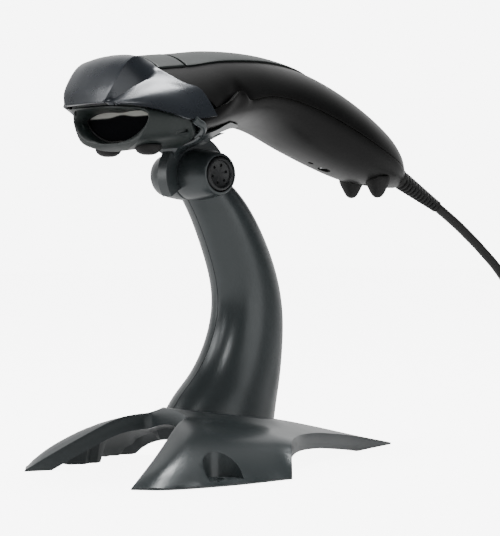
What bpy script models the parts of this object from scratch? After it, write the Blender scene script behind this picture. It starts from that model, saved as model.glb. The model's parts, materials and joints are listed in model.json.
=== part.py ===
"""Corded barcode scanner resting in the cradle of a tilting counter stand.

The model is laid out in millimetres from the foot of the stand's neck: X across, the scanner's nose
towards -Y, Z up from the counter.  ORIGIN_Y then centres the object's box on the world origin.
"""
import math

import bmesh
import bpy
from mathutils import Matrix, Vector
from mathutils.geometry import delaunay_2d_cdt

# ---------------------------------------------------------------- driving dimensions (millimetres)
MM = 0.001
GAP = 0.35              # play left between pieces that touch
WALL = 2.0              # moulded shells of the scanner
STAND_WALL = 2.6        # moulded shells of the stand
ORIGIN_Y = -15.0        # the neck's foot, seen from the middle of the object's box

HINGE_Y = -14.5
HINGE_Z = 118.6
BARREL_R = 10.5
BARREL_HALF = 17.2
SLOT_HALF = 2.75
WEB_HALF = 2.4
BOLT_R = 2.2

TIP_Y = -73.0           # front ends of the feet
FLOOR_CLEAR = 0.4       # the pads lift the base shell by this much
SKIRT = 6.5
TAIL_Y = 103.0          # rear end of the scanner's shells
MIRROR_Y = -32.4        # axis of the scanning mirror
CORD_R = 2.2

# ---------------------------------------------------------------- scene, bodies and looks
for old in list(bpy.data.objects):
    bpy.data.objects.remove(old, do_unlink=True)

PARTS = bpy.data.collections.new("barcode_scanner")
CUTTERS = bpy.data.collections.new("cutters")
bpy.context.scene.collection.children.link(PARTS)
bpy.context.scene.collection.children.link(CUTTERS)

LOOKS = {               # colour, roughness, metallic
    "gunmetal": ((0.060, 0.075, 0.080), 0.35, 0.55),
    "green_grey": ((0.045, 0.062, 0.058), 0.50, 0.10),
    "black": ((0.012, 0.012, 0.012), 0.30, 0.00),
    "rubber": ((0.018, 0.018, 0.018), 0.75, 0.00),
    "glass": ((0.020, 0.022, 0.024), 0.05, 0.00),
    "steel": ((0.560, 0.570, 0.580), 0.30, 1.00),
    "brass": ((0.620, 0.480, 0.220), 0.30, 1.00),
    "mirror": ((0.850, 0.860, 0.870), 0.03, 1.00),
    "board": ((0.020, 0.120, 0.050), 0.45, 0.00),
    "component": ((0.030, 0.030, 0.032), 0.40, 0.00),
    "copper": ((0.550, 0.230, 0.110), 0.35, 1.00),
    "white": ((0.600, 0.600, 0.580), 0.45, 0.00),
}


def add_body(name, place, parent=None):
    """An empty on the body's joint axis; place is in millimetres from the neck's foot."""
    item = bpy.data.objects.new(name, None)
    item.empty_display_size = 0.02
    item["place"] = place
    PARTS.objects.link(item)
    origin = Vector(place)
    if parent is not None:
        item.parent = parent
        origin -= Vector(parent["place"])
    item.location = origin * MM
    return item


STAND = add_body("stand_body", (0.0, 0.0, 0.0))
STAND.location.y = ORIGIN_Y * MM
CRADLE = add_body("cradle_body", (0.0, HINGE_Y, HINGE_Z), STAND)
KNOB = add_body("knob_body", (BARREL_HALF, HINGE_Y, HINGE_Z), STAND)
SCANNER = add_body("scanner_body", (0.0, HINGE_Y, 130.0), CRADLE)
TRIGGER = add_body("trigger_body", (0.0, -38.5, 161.0), SCANNER)
MIRROR = add_body("mirror_body", (0.0, MIRROR_Y, 141.4), SCANNER)


def paint(item, look):
    colour, roughness, metallic = LOOKS[look]
    material = bpy.data.materials.new(item.name)
    material.use_nodes = True
    shader = material.node_tree.nodes["Principled BSDF"]
    shader.inputs["Base Color"].default_value = (*colour, 1.0)
    shader.inputs["Roughness"].default_value = roughness
    shader.inputs["Metallic"].default_value = metallic
    material.diffuse_color = (*colour, 1.0)
    item.data.materials.clear()
    item.data.materials.append(material)


def place(item, body, look):
    """Hang a mesh whose points are measured from the neck's foot on its body; no look is a cutter."""
    item.parent = body
    item.matrix_parent_inverse = Matrix.Translation(-Vector(body["place"]) * MM)
    if look is None:
        CUTTERS.objects.link(item)
        item.hide_render = True
        item.display_type = "WIRE"
    else:
        PARTS.objects.link(item)
        paint(item, look)
    return item


def mesh_item(name, bm, body, look, sharp=35.0):
    mesh = bpy.data.meshes.new(name)
    bm.to_mesh(mesh)
    bm.free()
    mesh.shade_smooth()
    mesh.set_sharp_from_angle(angle=math.radians(sharp))
    return place(bpy.data.objects.new(name, mesh), body, look)


# ---------------------------------------------------------------- shape helpers
def scaled(points):
    return [Vector(point) * MM for point in points]


def box(name, low, high, body, look, bevel=0.0, turn=None):
    """A box between two corners, with optional bevelled edges and a turn about its centre."""
    low, high = Vector(low), Vector(high)
    bm = bmesh.new()
    bmesh.ops.create_cube(bm, size=1.0)
    size = Matrix.Diagonal((*((high - low) * MM), 1.0))
    middle = Matrix.Translation((high + low) * 0.5 * MM)
    bmesh.ops.transform(bm, matrix=middle @ (turn or Matrix.Identity(4)) @ size, verts=bm.verts)
    item = mesh_item(name, bm, body, look)
    if bevel:
        edges = item.modifiers.new("bevel", "BEVEL")
        edges.width = bevel * MM
        edges.segments = 2
    return item


def rod(name, start, end, radius, body, look, end_radius=None, sides=24):
    """A round bar or cone from one point to another."""
    start, end = Vector(start), Vector(end)
    axis = end - start
    turn = axis.to_track_quat("Z", "Y").to_matrix().to_4x4()
    bm = bmesh.new()
    bmesh.ops.create_cone(
        bm, cap_ends=True, segments=sides, radius1=radius * MM,
        radius2=(radius if end_radius is None else end_radius) * MM, depth=axis.length * MM,
        matrix=Matrix.Translation((start + end) * 0.5 * MM) @ turn,
    )
    return mesh_item(name, bm, body, look)


def turned(name, profile, origin, direction, body, look, steps=28, closed=False):
    """Turn a (radius, height) profile about an axis; it runs from the far end to the near end."""
    bm = bmesh.new()
    points = [bm.verts.new((radius * MM, 0.0, height * MM)) for radius, height in profile]
    for first, second in zip(points, points[1:]):
        bm.edges.new((first, second))
    if closed:
        bm.edges.new((points[-1], points[0]))
    item = mesh_item(name, bm, body, look)
    item.location = Vector(origin) * MM
    item.rotation_mode = "QUATERNION"
    item.rotation_quaternion = Vector(direction).to_track_quat("Z", "Y")
    screw = item.modifiers.new("turn", "SCREW")
    screw.axis = "Z"
    screw.steps = screw.render_steps = steps
    screw.use_merge_vertices = True
    screw.merge_threshold = 0.00001
    screw.use_smooth_shade = True
    return item


def plate(name, outline, low, high, axis, body, look, bevel=0.0):
    """A flat outline given thickness along X, or along Y when axis is 1, or along Z when it is 2."""
    def spot(point, level):
        row = list(point)
        row.insert(axis, level)
        return Vector(row) * MM

    bm = bmesh.new()
    face = bm.faces.new([bm.verts.new(spot(point, low)) for point in outline])
    made = bmesh.ops.extrude_face_region(bm, geom=[face])["geom"]
    moved = [item for item in made if isinstance(item, bmesh.types.BMVert)]
    shift = [0.0, 0.0, 0.0]
    shift[axis] = (high - low) * MM
    bmesh.ops.translate(bm, vec=Vector(shift), verts=moved)
    bmesh.ops.recalc_face_normals(bm, faces=bm.faces)
    item = mesh_item(name, bm, body, look)
    if bevel:
        edges = item.modifiers.new("bevel", "BEVEL")
        edges.width = bevel * MM
        edges.segments = 2
    return item


def loft(name, rings, body, look, ring_closed=True, capped=True, thickness=0.0, flip=False):
    """Skin a row of sections; an open skin is given a wall thickness towards its inside."""
    bm = bmesh.new()
    grid = [[bm.verts.new(point) for point in scaled(ring)] for ring in rings]
    count = len(rings[0])
    last = count if ring_closed else count - 1
    for near, far in zip(grid, grid[1:]):
        for index in range(last):
            after = (index + 1) % count
            bm.faces.new((near[index], near[after], far[after], far[index]))
    if capped:
        bm.faces.new(grid[0])
        bm.faces.new(grid[-1])
        bmesh.ops.recalc_face_normals(bm, faces=bm.faces)
    elif flip:
        bmesh.ops.reverse_faces(bm, faces=bm.faces)
    item = mesh_item(name, bm, body, look)
    if thickness:
        wall = item.modifiers.new("wall", "SOLIDIFY")
        wall.thickness = thickness * MM
        wall.offset = -1.0
    return item


def combine(item, other, operation):
    step = item.modifiers.new(operation.lower(), "BOOLEAN")
    step.operation = operation
    step.solver = "EXACT"
    step.object = other


def cut(item, *others):
    for other in others:
        combine(item, other, "DIFFERENCE")


def join(item, *others):
    for other in others:
        combine(item, other, "UNION")


def curve_through(points, count):
    """Points at even spacing on a smooth curve through the given ones (Catmull-Rom)."""
    knots = [Vector(point) for point in points]
    ends = [2 * knots[0] - knots[1], *knots, 2 * knots[-1] - knots[-2]]
    fine = []
    for a, b, c, d in zip(ends, ends[1:], ends[2:], ends[3:]):
        for step in range(12):
            t = step / 12
            fine.append(0.5 * (2 * b + (c - a) * t + (2 * a - 5 * b + 4 * c - d) * t * t
                               + (3 * b - a - 3 * c + d) * t ** 3))
    fine.append(knots[-1])
    return resample(fine, count)


def resample(fine, count):
    lengths = [0.0]
    for first, second in zip(fine, fine[1:]):
        lengths.append(lengths[-1] + (second - first).length)
    out = []
    index = 0
    for step in range(count):
        goal = lengths[-1] * step / (count - 1)
        while index < len(fine) - 2 and lengths[index + 1] < goal:
            index += 1
        span = max(lengths[index + 1] - lengths[index], 1e-9)
        out.append(fine[index].lerp(fine[index + 1], (goal - lengths[index]) / span))
    return out


def blend(table, where):
    """Smooth values between the rows of a table whose first column is the place."""
    if where <= table[0][0]:
        return table[0][1:]
    for first, second in zip(table, table[1:]):
        if where <= second[0]:
            span = second[0] - first[0]
            t = (where - first[0]) / span
            index = table.index(first)
            before = table[max(index - 1, 0)]
            after = table[min(index + 2, len(table) - 1)]
            values = []
            for a, b, c, d in zip(before[1:], first[1:], second[1:], after[1:]):
                rise_b = (c - a) / max(second[0] - before[0], 1e-9) * span
                rise_c = (d - b) / max(after[0] - first[0], 1e-9) * span
                values.append((2 * t ** 3 - 3 * t * t + 1) * b + (t ** 3 - 2 * t * t + t) * rise_b
                              + (3 * t * t - 2 * t ** 3) * c + (t ** 3 - t * t) * rise_c)
            return tuple(values)
    return table[-1][1:]


def soft_min(first, second, radius):
    """The smaller of two values, rounded where they cross."""
    mix = max(0.0, min(1.0, 0.5 + 0.5 * (second - first) / radius))
    return second + (first - second) * mix - radius * mix * (1 - mix)


# ---------------------------------------------------------------- base of the stand
FOOT_EDGE = [(34.0, -73.0), (44.2, -62.8), (50.9, -38.2), (53.0, -9.0)]
ARCH_CORNER = (14.0, -27.0)
REAR_TIP_Y = 102.0
SIDE_ARCH = [(53.0, -9.0), (42.0, 1.0), (34.5, 10.0), (29.0, 19.0), (24.5, 29.0), (19.0, 43.0),
             (8.0, 73.0), (0.0, REAR_TIP_Y)]
RIDGE = [(-30.0, 24.9), (0.0, 21.4), (31.0, 16.8), (52.0, 12.4), (78.0, 6.4), (REAR_TIP_Y, 1.2)]
NECK_FOOT = (16.4, 25.6)            # half width and half depth of the neck where it meets the base
FOOT_SLOPE = -0.148                 # the hub's top falls towards the rear
FOOT_MIDDLE = (0.7, 22.0)


def base_outline(step):
    """Half of the plan outline, from the front arch's middle round to the rear foot's tip."""
    edge = [Vector(p) for p in curve_through(FOOT_EDGE, 1 + round(75 / step))]
    side = [Vector(p) for p in curve_through(SIDE_ARCH, 1 + round(130 / step))]
    arch = [Vector((0.0, ARCH_CORNER[1])), Vector((ARCH_CORNER[0] / 2, ARCH_CORNER[1])),
            Vector((ARCH_CORNER[0] - 3.0, ARCH_CORNER[1])),
            Vector((ARCH_CORNER[0], ARCH_CORNER[1] - 2.5))]
    wall = curve_through([arch[-1], (22.0, -45.0), (28.2, -58.0), FOOT_EDGE[0]],
                         1 + round(50 / step))[1:]
    return arch + wall + edge[1:] + side[1:]


EDGE_POINTS = curve_through(FOOT_EDGE, 40)


def base_top(x, y):
    """Height of the base's upper surface."""
    x = abs(x)
    spot = Vector((x, y))
    outward = min((spot - point).length for point in EDGE_POINTS)
    flank = 0.9 + 27.0 * (1 - math.exp(-outward / 22.0))
    crown = blend(RIDGE, y)[0] - 0.24 * (math.hypot(x, 8.0) - 8.0)
    height = soft_min(flank, crown, 3.5)
    height = soft_min(height, 0.9 + 0.57 * (y - TIP_Y), 2.0)
    ellipse = math.hypot(x / NECK_FOOT[0], (y - FOOT_MIDDLE[0]) / NECK_FOOT[1])
    hub = FOOT_MIDDLE[1] + FOOT_SLOPE * (y - FOOT_MIDDLE[0]) - 0.9
    if ellipse < 1.06:
        return hub
    hub -= (ellipse - 1.06) * 14.0
    return max(1.0, -soft_min(-height, -hub, 1.0) if ellipse < 1.6 else height)


def height_solid(name, outline, top, bottom, step, body, look):
    """A closed solid between two height functions over a plan outline that is whole, not half."""
    count = len(outline)
    plan = [Vector(point) for point in outline]
    reach_x = max(point.x for point in plan)
    y = min(point.y for point in plan) + step / 2
    high_y = max(point.y for point in plan)
    inner = []
    while y < high_y:
        columns = int(reach_x / step)
        for index in range(-columns, columns + 1):
            spot = Vector((index * step, y))
            if inside(spot, plan) and clearance(spot, plan) > step * 0.45:
                inner.append(spot)
        y += step
    edges = [(index, (index + 1) % count) for index in range(count)]
    spots, _, faces, *_ = delaunay_2d_cdt(plan + inner, edges, [], 1, 1e-6)
    bm = bmesh.new()
    upper = [bm.verts.new(Vector((p.x, p.y, top(p.x, p.y))) * MM) for p in spots]
    lower = [bm.verts.new(Vector((p.x, p.y, bottom(p.x, p.y))) * MM) for p in spots]
    used = {}
    for face in faces:
        bm.faces.new([upper[index] for index in face])
        bm.faces.new([lower[index] for index in reversed(face)])
        for first, second in zip(face, face[1:] + face[:1]):
            used[(first, second)] = True
    for first, second in used:
        if (second, first) not in used:
            bm.faces.new((upper[second], upper[first], lower[first], lower[second]))
    loose = [vert for vert in bm.verts if not vert.link_faces]
    bmesh.ops.delete(bm, geom=loose, context="VERTS")
    bmesh.ops.recalc_face_normals(bm, faces=bm.faces)
    return mesh_item(name, bm, body, look)


def inside(spot, plan):
    hit = False
    for first, second in zip(plan, plan[1:] + plan[:1]):
        if (first.y > spot.y) != (second.y > spot.y):
            if spot.x < first.x + (spot.y - first.y) * (second.x - first.x) / (second.y - first.y):
                hit = not hit
    return hit


def clearance(spot, plan):
    near = 1e9
    for first, second in zip(plan, plan[1:] + plan[:1]):
        along = second - first
        t = max(0.0, min(1.0, (spot - first).dot(along) / max(along.length_squared, 1e-9)))
        near = min(near, (spot - first - along * t).length)
    return near


def whole(half):
    """Close a half outline, given from one point on the middle line to another, by its mirror."""
    half = [Vector(point) for point in half]
    return half + [Vector((-point.x, point.y)) for point in reversed(half[1:-1])]


RECESS = (45.5, -38.8)              # counter screw recess in each front foot
RECESS_R = 8.5
PADS = {"foot_pad_left": (-38.5, -60.5), "foot_pad_right": (38.5, -60.5), "foot_pad_rear": (0.0, 80.0)}
PAD_R = 3.6
BASE_SCREWS = {"base_screw_front": -12.0, "base_screw_rear": 14.0}
CAVITY_HALF = [(0.0, -24.0), (11.0, -24.0), (13.0, -27.5), (20.5, -42.0), (26.5, -54.0), (32.0, -60.5),
               (39.5, -57.5), (44.5, -46.0), (46.2, -32.0), (47.6, -13.0), (45.0, -7.0), (38.5, 0.5),
               (31.0, 9.0), (25.5, 18.0), (21.0, 29.0), (15.6, 43.0), (5.0, 70.5), (0.0, 73.0)]


def make_base():
    def under(x, y):
        return max(FLOOR_CLEAR, base_top(x, y) - SKIRT)

    def ceiling(x, y):
        return base_top(x, y) - STAND_WALL

    base = height_solid("base_shell", whole(base_outline(8.0)), base_top, under, 8.0, STAND, "gunmetal")
    cavity = height_solid("base_cavity", whole(CAVITY_HALF), ceiling, lambda x, y: -5.0, 9.0, STAND, None)
    for side in (-1, 1):
        keep = rod(f"recess_wall_{side}", (side * RECESS[0], RECESS[1], -9.0),
                   (side * RECESS[0], RECESS[1], 30.0), RECESS_R + 2.2, STAND, None)
        cut(cavity, keep)
    for name, y in BASE_SCREWS.items():
        cut(cavity, rod(f"{name}_boss", (0.0, y, -9.0), (0.0, y, 40.0), 5.2, STAND, None))
    cut(base, cavity)
    for side in (-1, 1):
        x, y = side * RECESS[0], RECESS[1]
        rim = [(side * 47.9, y - 9.6)]
        for angle in spread(100.0 + 160.0, 100.0, 11):
            turn = math.radians(angle if side > 0 else 180.0 - angle)
            rim.append((x + (RECESS_R + 2.0) * math.cos(turn), y + (RECESS_R + 2.0) * math.sin(turn)))
        rim.append((side * 50.6, y + 9.6))
        join(base, height_solid(f"recess_ledge_{side}", rim, lambda px, py: base_top(px, py) - 0.9,
                                lambda px, py: FLOOR_CLEAR, 6.0, STAND, None))
    for side in (-1, 1):
        pocket = rod(f"recess_{side}", (side * RECESS[0], RECESS[1], 2.4),
                     (side * RECESS[0], RECESS[1], 40.0), RECESS_R, STAND, None, sides=32)
        hole = rod(f"counter_hole_{side}", (side * (RECESS[0] - 1.5), RECESS[1], -5.0),
                   (side * (RECESS[0] - 1.5), RECESS[1], 8.0), 2.1, STAND, None)
        cut(base, pocket, hole)
    for name, (x, y) in PADS.items():
        rod(name, (x, y, 0.0), (x, y, 1.5), PAD_R, STAND, "rubber")
        cut(base, rod(f"{name}_seat", (x, y, -3.0), (x, y, 1.5 + GAP), PAD_R + GAP, STAND, None))
    for name, y in BASE_SCREWS.items():
        level = base_top(0.0, y) - SKIRT
        screw(name, (0.0, y, level + 0.4), (0.0, 0.0, 1.0), 13.0, STAND)
        cut(base, rod(f"{name}_hole", (0.0, y, -9.0), (0.0, y, 40.0), 1.9, STAND, None),
            rod(f"{name}_bore", (0.0, y, -9.0), (0.0, y, level + 2.6), 3.4, STAND, None))


def screw(name, head, direction, length, body, shank=1.4, cap=2.7):
    """A pan-head screw: its head starts at the given point and its shank runs along direction."""
    profile = [(0.0, length), (shank, length - 1.0), (shank, 2.0), (cap, 2.0), (cap, 0.8),
               (cap - 0.6, 0.0), (1.2, 0.0), (1.2, 0.8), (0.0, 0.8)]
    return turned(name, profile, head, direction, body, "steel", steps=10)


# ---------------------------------------------------------------- neck halves with the hinge barrel
NECK = [  # place along the neck, centre y, centre z, half width, half depth, tilt of the section
    (0.0, 0.7, 21.5, 16.4, 25.6, 8.4), (1.0, 4.0, 28.6, 15.3, 24.0, 6.0),
    (2.0, 8.5, 35.4, 14.5, 21.2, 4.0), (3.0, 12.7, 46.6, 13.5, 18.5, 2.0),
    (4.0, 15.0, 57.5, 12.9, 16.8, 0.0), (5.0, 15.3, 68.0, 12.5, 15.6, 0.0),
    (6.0, 12.4, 80.0, 12.3, 14.8, -5.0), (7.0, 6.4, 93.0, 12.1, 13.6, -12.0),
    (8.0, -1.4, 106.2, 11.4, 11.7, -22.0), (9.0, -10.1, 114.3, 10.15, 8.9, -35.0)]
NECK_SCREWS = {"neck_screw_lower": (11.5, 44.0), "neck_screw_upper": (11.0, 84.0)}


def neck_ring(where, side, inset, seam, count):
    """Half of an oval section of the neck, closed along the middle plane."""
    y, z, half_x, half_d, tilt = blend(NECK, where)
    tilt = math.radians(tilt)
    ring = []
    for index in range(count):
        angle = math.pi * index / (count - 1)
        across = max(seam, (half_x - inset) * math.sin(angle) ** 0.94)
        deep = -(half_d - inset) * math.cos(angle)
        ring.append((side * across, y + deep * math.cos(tilt), z - deep * math.sin(tilt)))
    return ring


def neck_half(name, side):
    """One moulded half: hollow neck, closed foot and its half of the barrel."""
    rows = spread(0.0, 9.0, 15)
    half = loft(name, [neck_ring(where, side, 0.0, GAP / 2, 13) for where in rows], STAND, "gunmetal")
    hollow = loft(f"{name}_hollow",
                  [neck_ring(0.45 + where * 0.82, side, STAND_WALL, -1.0, 11) for where in rows],
                  STAND, None)
    cut(half, hollow)
    end = BARREL_HALF
    barrel = turned(f"{name}_barrel",
                    [(0.0, end), (BARREL_R - 3.0, end), (BARREL_R - 2.1, end - 0.8),
                     (BARREL_R - 1.3, end - 4.0), (BARREL_R - 0.5, end - 9.0), (BARREL_R, end - 15.0),
                     (BARREL_R, GAP / 2), (0.0, GAP / 2)],
                    (0.0, HINGE_Y, HINGE_Z), (side, 0.0, 0.0), STAND, None)
    join(half, barrel)
    for label, (y, z) in NECK_SCREWS.items():
        boss = rod(f"{name}_{label}_boss", (side * GAP / 2, y, z), (side * 11.0, y, z), 3.6, STAND, None,
                   sides=16)
        join(half, boss)
        if side < 0:
            bore = rod(f"{label}_bore", (1.0, y, z), (-20.0, y, z), 1.7, STAND, None, sides=16)
            head = rod(f"{label}_head", (-7.4, y, z), (-20.0, y, z), 3.0, STAND, None, sides=16)
            cut(half, bore, head)
        else:
            cut(half, rod(f"{label}_thread", (-1.0, y, z), (9.4, y, z), 1.7, STAND, None, sides=16))
    slot = plate(f"{name}_slot", slot_outline(), -SLOT_HALF, SLOT_HALF, 0, STAND, None)
    bolt = rod(f"{name}_bolt_hole", (-30.0, HINGE_Y, HINGE_Z), (30.0, HINGE_Y, HINGE_Z),
               BOLT_R + GAP, STAND, None)
    seat_r, seat_x = (7.3, 12.6) if side > 0 else (6.6, 12.0)
    seat = rod(f"{name}_seat", (side * seat_x, HINGE_Y, HINGE_Z), (side * 30.0, HINGE_Y, HINGE_Z),
               seat_r, STAND, None, sides=32)
    cut(half, slot, bolt, seat)
    cut(half, rod(f"{name}_pocket", (side * 8.0, HINGE_Y, HINGE_Z), (side * 30.0, HINGE_Y, HINGE_Z), 4.9,
                  STAND, None))
    for label, y in BASE_SCREWS.items():
        low = base_top(0.0, y)
        cut(half, rod(f"{name}_{label}", (0.0, y, low - 9.0), (0.0, y, low + 20.0), 1.8, STAND, None,
                      sides=16))
    return half


def slot_outline():
    """The slot in the barrel: round under the axle, open over the top from front to rear."""
    inner, outer = 8.3, 16.0
    front, rear = math.radians(214.0), math.radians(350.0)
    outline = []
    for index in range(13):
        angle = front + (rear - front) * index / 12
        outline.append((HINGE_Y + inner * math.cos(angle), HINGE_Z + inner * math.sin(angle)))
    for index in range(19):
        angle = rear + (front + 2 * math.pi - rear) * index / 18
        outline.append((HINGE_Y + outer * math.cos(angle), HINGE_Z + outer * math.sin(angle)))
    return outline


def make_neck():
    neck_half("neck_half_left", -1)
    neck_half("neck_half_right", 1)
    for name, (y, z) in NECK_SCREWS.items():
        screw(name, (-9.6, y, z), (1.0, 0.0, 0.0), 17.0, STAND)
    axle = (0.0, HINGE_Y, HINGE_Z)
    turned("pivot_bolt", [(0.0, 14.9), (BOLT_R - 0.5, 14.9), (BOLT_R, 14.3), (BOLT_R, -9.6), (4.4, -9.6),
                          (4.4, -12.2), (0.0, -12.2)], axle, (1.0, 0.0, 0.0), STAND, "steel", steps=18)
    turned("barrel_end_cap", [(0.0, -17.1), (4.6, -16.7), (4.6, -12.5), (6.2, -12.5), (6.2, -17.5),
                              (5.6, -18.5), (4.0, -19.1), (0.0, -19.4)], axle, (1.0, 0.0, 0.0), STAND,
           "gunmetal")
    for side, name in ((-1, "bolt_washer"), (1, "spring_washer")):
        low, high = sorted((side * 8.35, side * 9.3))
        turned(name, [(4.5, high), (4.5, low), (2.6, low), (2.6, high)], axle, (1.0, 0.0, 0.0), STAND,
               "steel", steps=18, closed=True)
    turned("tension_nut", [(4.5, 12.8), (4.5, 9.6), (2.6, 9.6), (2.6, 12.8)], axle, (1.0, 0.0, 0.0),
           STAND, "brass", steps=18, closed=True)
    knob = turned("tension_knob", [(0.0, 16.5), (5.2, 16.5), (5.4, 17.6), (6.4, 17.8), (6.8, 17.2),
                                   (6.8, 13.0), (0.0, 13.0)], axle, (1.0, 0.0, 0.0), KNOB, "black",
                  steps=32)
    bore = rod("knob_bore", (10.0, HINGE_Y, HINGE_Z), (15.3, HINGE_Y, HINGE_Z), BOLT_R + GAP, KNOB, None)
    cut(knob, bore)
    for index in range(6):
        angle = math.radians(60 * index + 15)
        y, z = HINGE_Y + 3.6 * math.cos(angle), HINGE_Z + 3.6 * math.sin(angle)
        cut(knob, rod(f"knob_hole_{index}", (15.7, y, z), (22.0, y, z), 0.75, KNOB, None, sides=12))


# ---------------------------------------------------------------- scanner sections
SECTIONS = [  # place y, top, bottom, half width, height of the widest point, upper and lower fullness
    (-48.0, 162.8, 129.2, 31.5, 137.6, 1.70, 2.0), (-41.0, 163.8, 129.4, 33.0, 136.8, 1.70, 2.0),
    (-28.0, 165.4, 131.0, 31.0, 140.2, 1.75, 2.0), (-12.0, 167.5, 135.8, 27.5, 145.5, 1.90, 2.1),
    (6.0, 167.9, 138.9, 24.0, 150.0, 2.00, 2.2), (22.0, 166.6, 136.8, 21.8, 149.5, 2.05, 2.2),
    (42.0, 162.8, 128.8, 20.4, 145.0, 2.10, 2.3), (60.0, 156.6, 122.4, 19.6, 138.6, 2.10, 2.3),
    (76.0, 149.0, 117.8, 18.2, 132.2, 2.10, 2.3), (90.0, 141.0, 115.8, 15.2, 126.8, 2.05, 2.2),
    (98.0, 135.0, 115.2, 11.6, 123.6, 2.00, 2.0), (TAIL_Y, 129.6, 115.2, 7.4, 122.4, 2.00, 2.0)]
MERGE_Y = -26.0         # behind this both shells share their sections
SEAM = [(-30.0, 0.95), (-4.0, 0.90), (10.0, 0.55), (TAIL_Y, 0.55)]
HOOD_EDGE = [(4.0, -28.0), (16.0, -31.0), (30.0, -35.9), (45.0, -42.0), (62.0, -45.2), (90.0, -46.4)]
PARTING = [(-48.0, 9.0), (-40.0, 8.2), (-29.0, 7.0), (-20.0, 9.6), (-13.0, 15.5), (-8.0, 4.0),
           (-2.0, 0.0), (TAIL_Y, 0.0)]


def section(y, angle, grow=0.0):
    """A point of the scanner's outer surface; angle is in degrees, 90 at the top, 0 at +X."""
    top, bottom, half, widest, upper, lower = blend(SECTIONS, y)
    turn = math.radians(angle)
    cosine, sine = math.cos(turn), math.sin(turn)
    power, reach = (upper, top - widest) if sine >= 0 else (lower, widest - bottom)
    x = math.copysign(abs(cosine) ** (2 / power), cosine) * (half + grow)
    z = widest + math.copysign(abs(sine) ** (2 / power), sine) * (reach + grow)
    return (x, y, z)


def angle_at(y, x):
    """The section angle on the upper side where the surface is x away from the middle plane."""
    _, _, half, _, upper, _ = blend(SECTIONS, y)
    return math.degrees(math.acos(min(1.0, abs(x) / half) ** (upper / 2)))


def seam_angle(y):
    """How far each shell stops from its parting line, as an angle."""
    return math.degrees(blend(SEAM, y)[0] / blend(SECTIONS, y)[2])


def spread(low, high, count):
    return [low + (high - low) * index / (count - 1) for index in range(count)]


def shell_grid(front, low, high):
    """Surface points of a shell, whose front edge is front(v) and whose sides follow two angles."""
    columns = spread(0.0, 1.0, 15)
    grid = []
    for u in spread(0.0, 1.0, 4)[:-1]:
        ring = []
        for v in columns:
            y = front(v) + (MERGE_Y - front(v)) * u
            ring.append(section(y, low(y) + (high(y) - low(y)) * v))
        grid.append(ring)
    for y in (*spread(MERGE_Y, -5.0, 9), *spread(2.0, 91.0, 11), 96.0, 100.0, TAIL_Y):
        grid.append([section(y, low(y) + (high(y) - low(y)) * v) for v in columns])
    return grid


def upper_front(v):
    """Front edge of the upper shell: the hood's rear edge, by place round the section."""
    angle = 3.0 + 87.0 * (1 - abs(2 * v - 1))
    return blend(HOOD_EDGE, angle)[0]


def lower_front(v):
    """Front edge of the lower shell: swept forward at its sides."""
    side = abs(2 * v - 1)
    return -27.5 - 12.5 * side ** 1.4 - 5.0 * side ** 14


def make_shells():
    upper = loft("upper_shell", shell_grid(upper_front, lambda y: blend(PARTING, y)[0] + seam_angle(y),
                                           lambda y: 180 - blend(PARTING, y)[0] - seam_angle(y)),
                 SCANNER, "black", ring_closed=False, capped=False, thickness=WALL, flip=True)
    lower = loft("lower_shell", shell_grid(lower_front, lambda y: 180 - blend(PARTING, y)[0] + seam_angle(y),
                                           lambda y: 360 + blend(PARTING, y)[0] - seam_angle(y)),
                 SCANNER, "black", ring_closed=False, capped=False, thickness=WALL, flip=True)
    well = box("trigger_well", (-17.4, -50.0, 150.0), (17.4, -31.5, 175.0), SCANNER, None)
    cut(upper, well)
    for name, y in HOUSING_SCREWS.items():
        bottom = section(y, 270.0)[2]
        top = section(y, 90.0)[2]
        screw(name, (0.0, y, bottom + 0.6), (0.0, 0.0, 1.0), 12.0, SCANNER, shank=1.2, cap=2.3)
        post = rod(f"{name}_post", (0.0, y, bottom + 4.2), (0.0, y, top - 1.0), 3.2, SCANNER, None,
                   sides=16)
        join(upper, post)
        cut(upper, rod(f"{name}_thread", (0.0, y, bottom), (0.0, y, bottom + 14.0), 1.5, SCANNER, None,
                       sides=16))
        cut(lower, rod(f"{name}_hole", (0.0, y, bottom - 6.0), (0.0, y, bottom + 6.0), 2.8, SCANNER,
                       None, sides=16))
    release = rod("cable_release_hole", (0.0, 52.0, 110.0), (0.0, 52.0, 134.0), 1.2, SCANNER, None,
                  sides=12)
    cut(lower, release)
    return lower


HOUSING_SCREWS = {"housing_screw_front": 60.0, "housing_screw_rear": 86.0}


# ---------------------------------------------------------------- hood, jaw and window
HOOD_COLUMNS = [  # from the middle line to the lower edge, each from the lip to the rear edge
    [(0.0, -69.9, 145.2), (0.0, -67.8, 151.4), (0.0, -61.4, 159.8), (0.0, -55.4, 163.6),
     (0.0, -47.0, 164.3)],
    [(6.8, -69.8, 145.2), (7.6, -67.6, 151.3), (7.8, -61.2, 159.6), (7.4, -55.2, 163.3),
     (6.8, -47.1, 163.4)],
    [(12.8, -69.4, 145.1), (15.4, -67.0, 151.0), (15.8, -60.6, 158.9), (14.6, -54.8, 161.9),
     (12.9, -47.4, 160.9)],
    [(15.2, -68.2, 144.9), (16.4, -62.2, 148.8), (17.6, -55.8, 152.4), (19.2, -49.6, 154.8),
     (21.2, -44.6, 155.8)],
    [(16.0, -67.4, 144.8), (19.0, -59.8, 147.4), (22.0, -51.8, 149.6), (24.8, -44.2, 151.4),
     (27.2, -38.8, 152.4)],
    [(16.6, -66.8, 144.7), (21.0, -59.6, 145.6), (25.6, -51.6, 146.2), (28.8, -43.4, 147.2),
     (30.6, -34.4, 147.6)],
    [(17.4, -66.0, 144.4), (23.6, -58.6, 143.5), (29.2, -50.4, 142.0), (32.5, -43.0, 141.2),
     (32.4, -31.6, 143.4)]]
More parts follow.
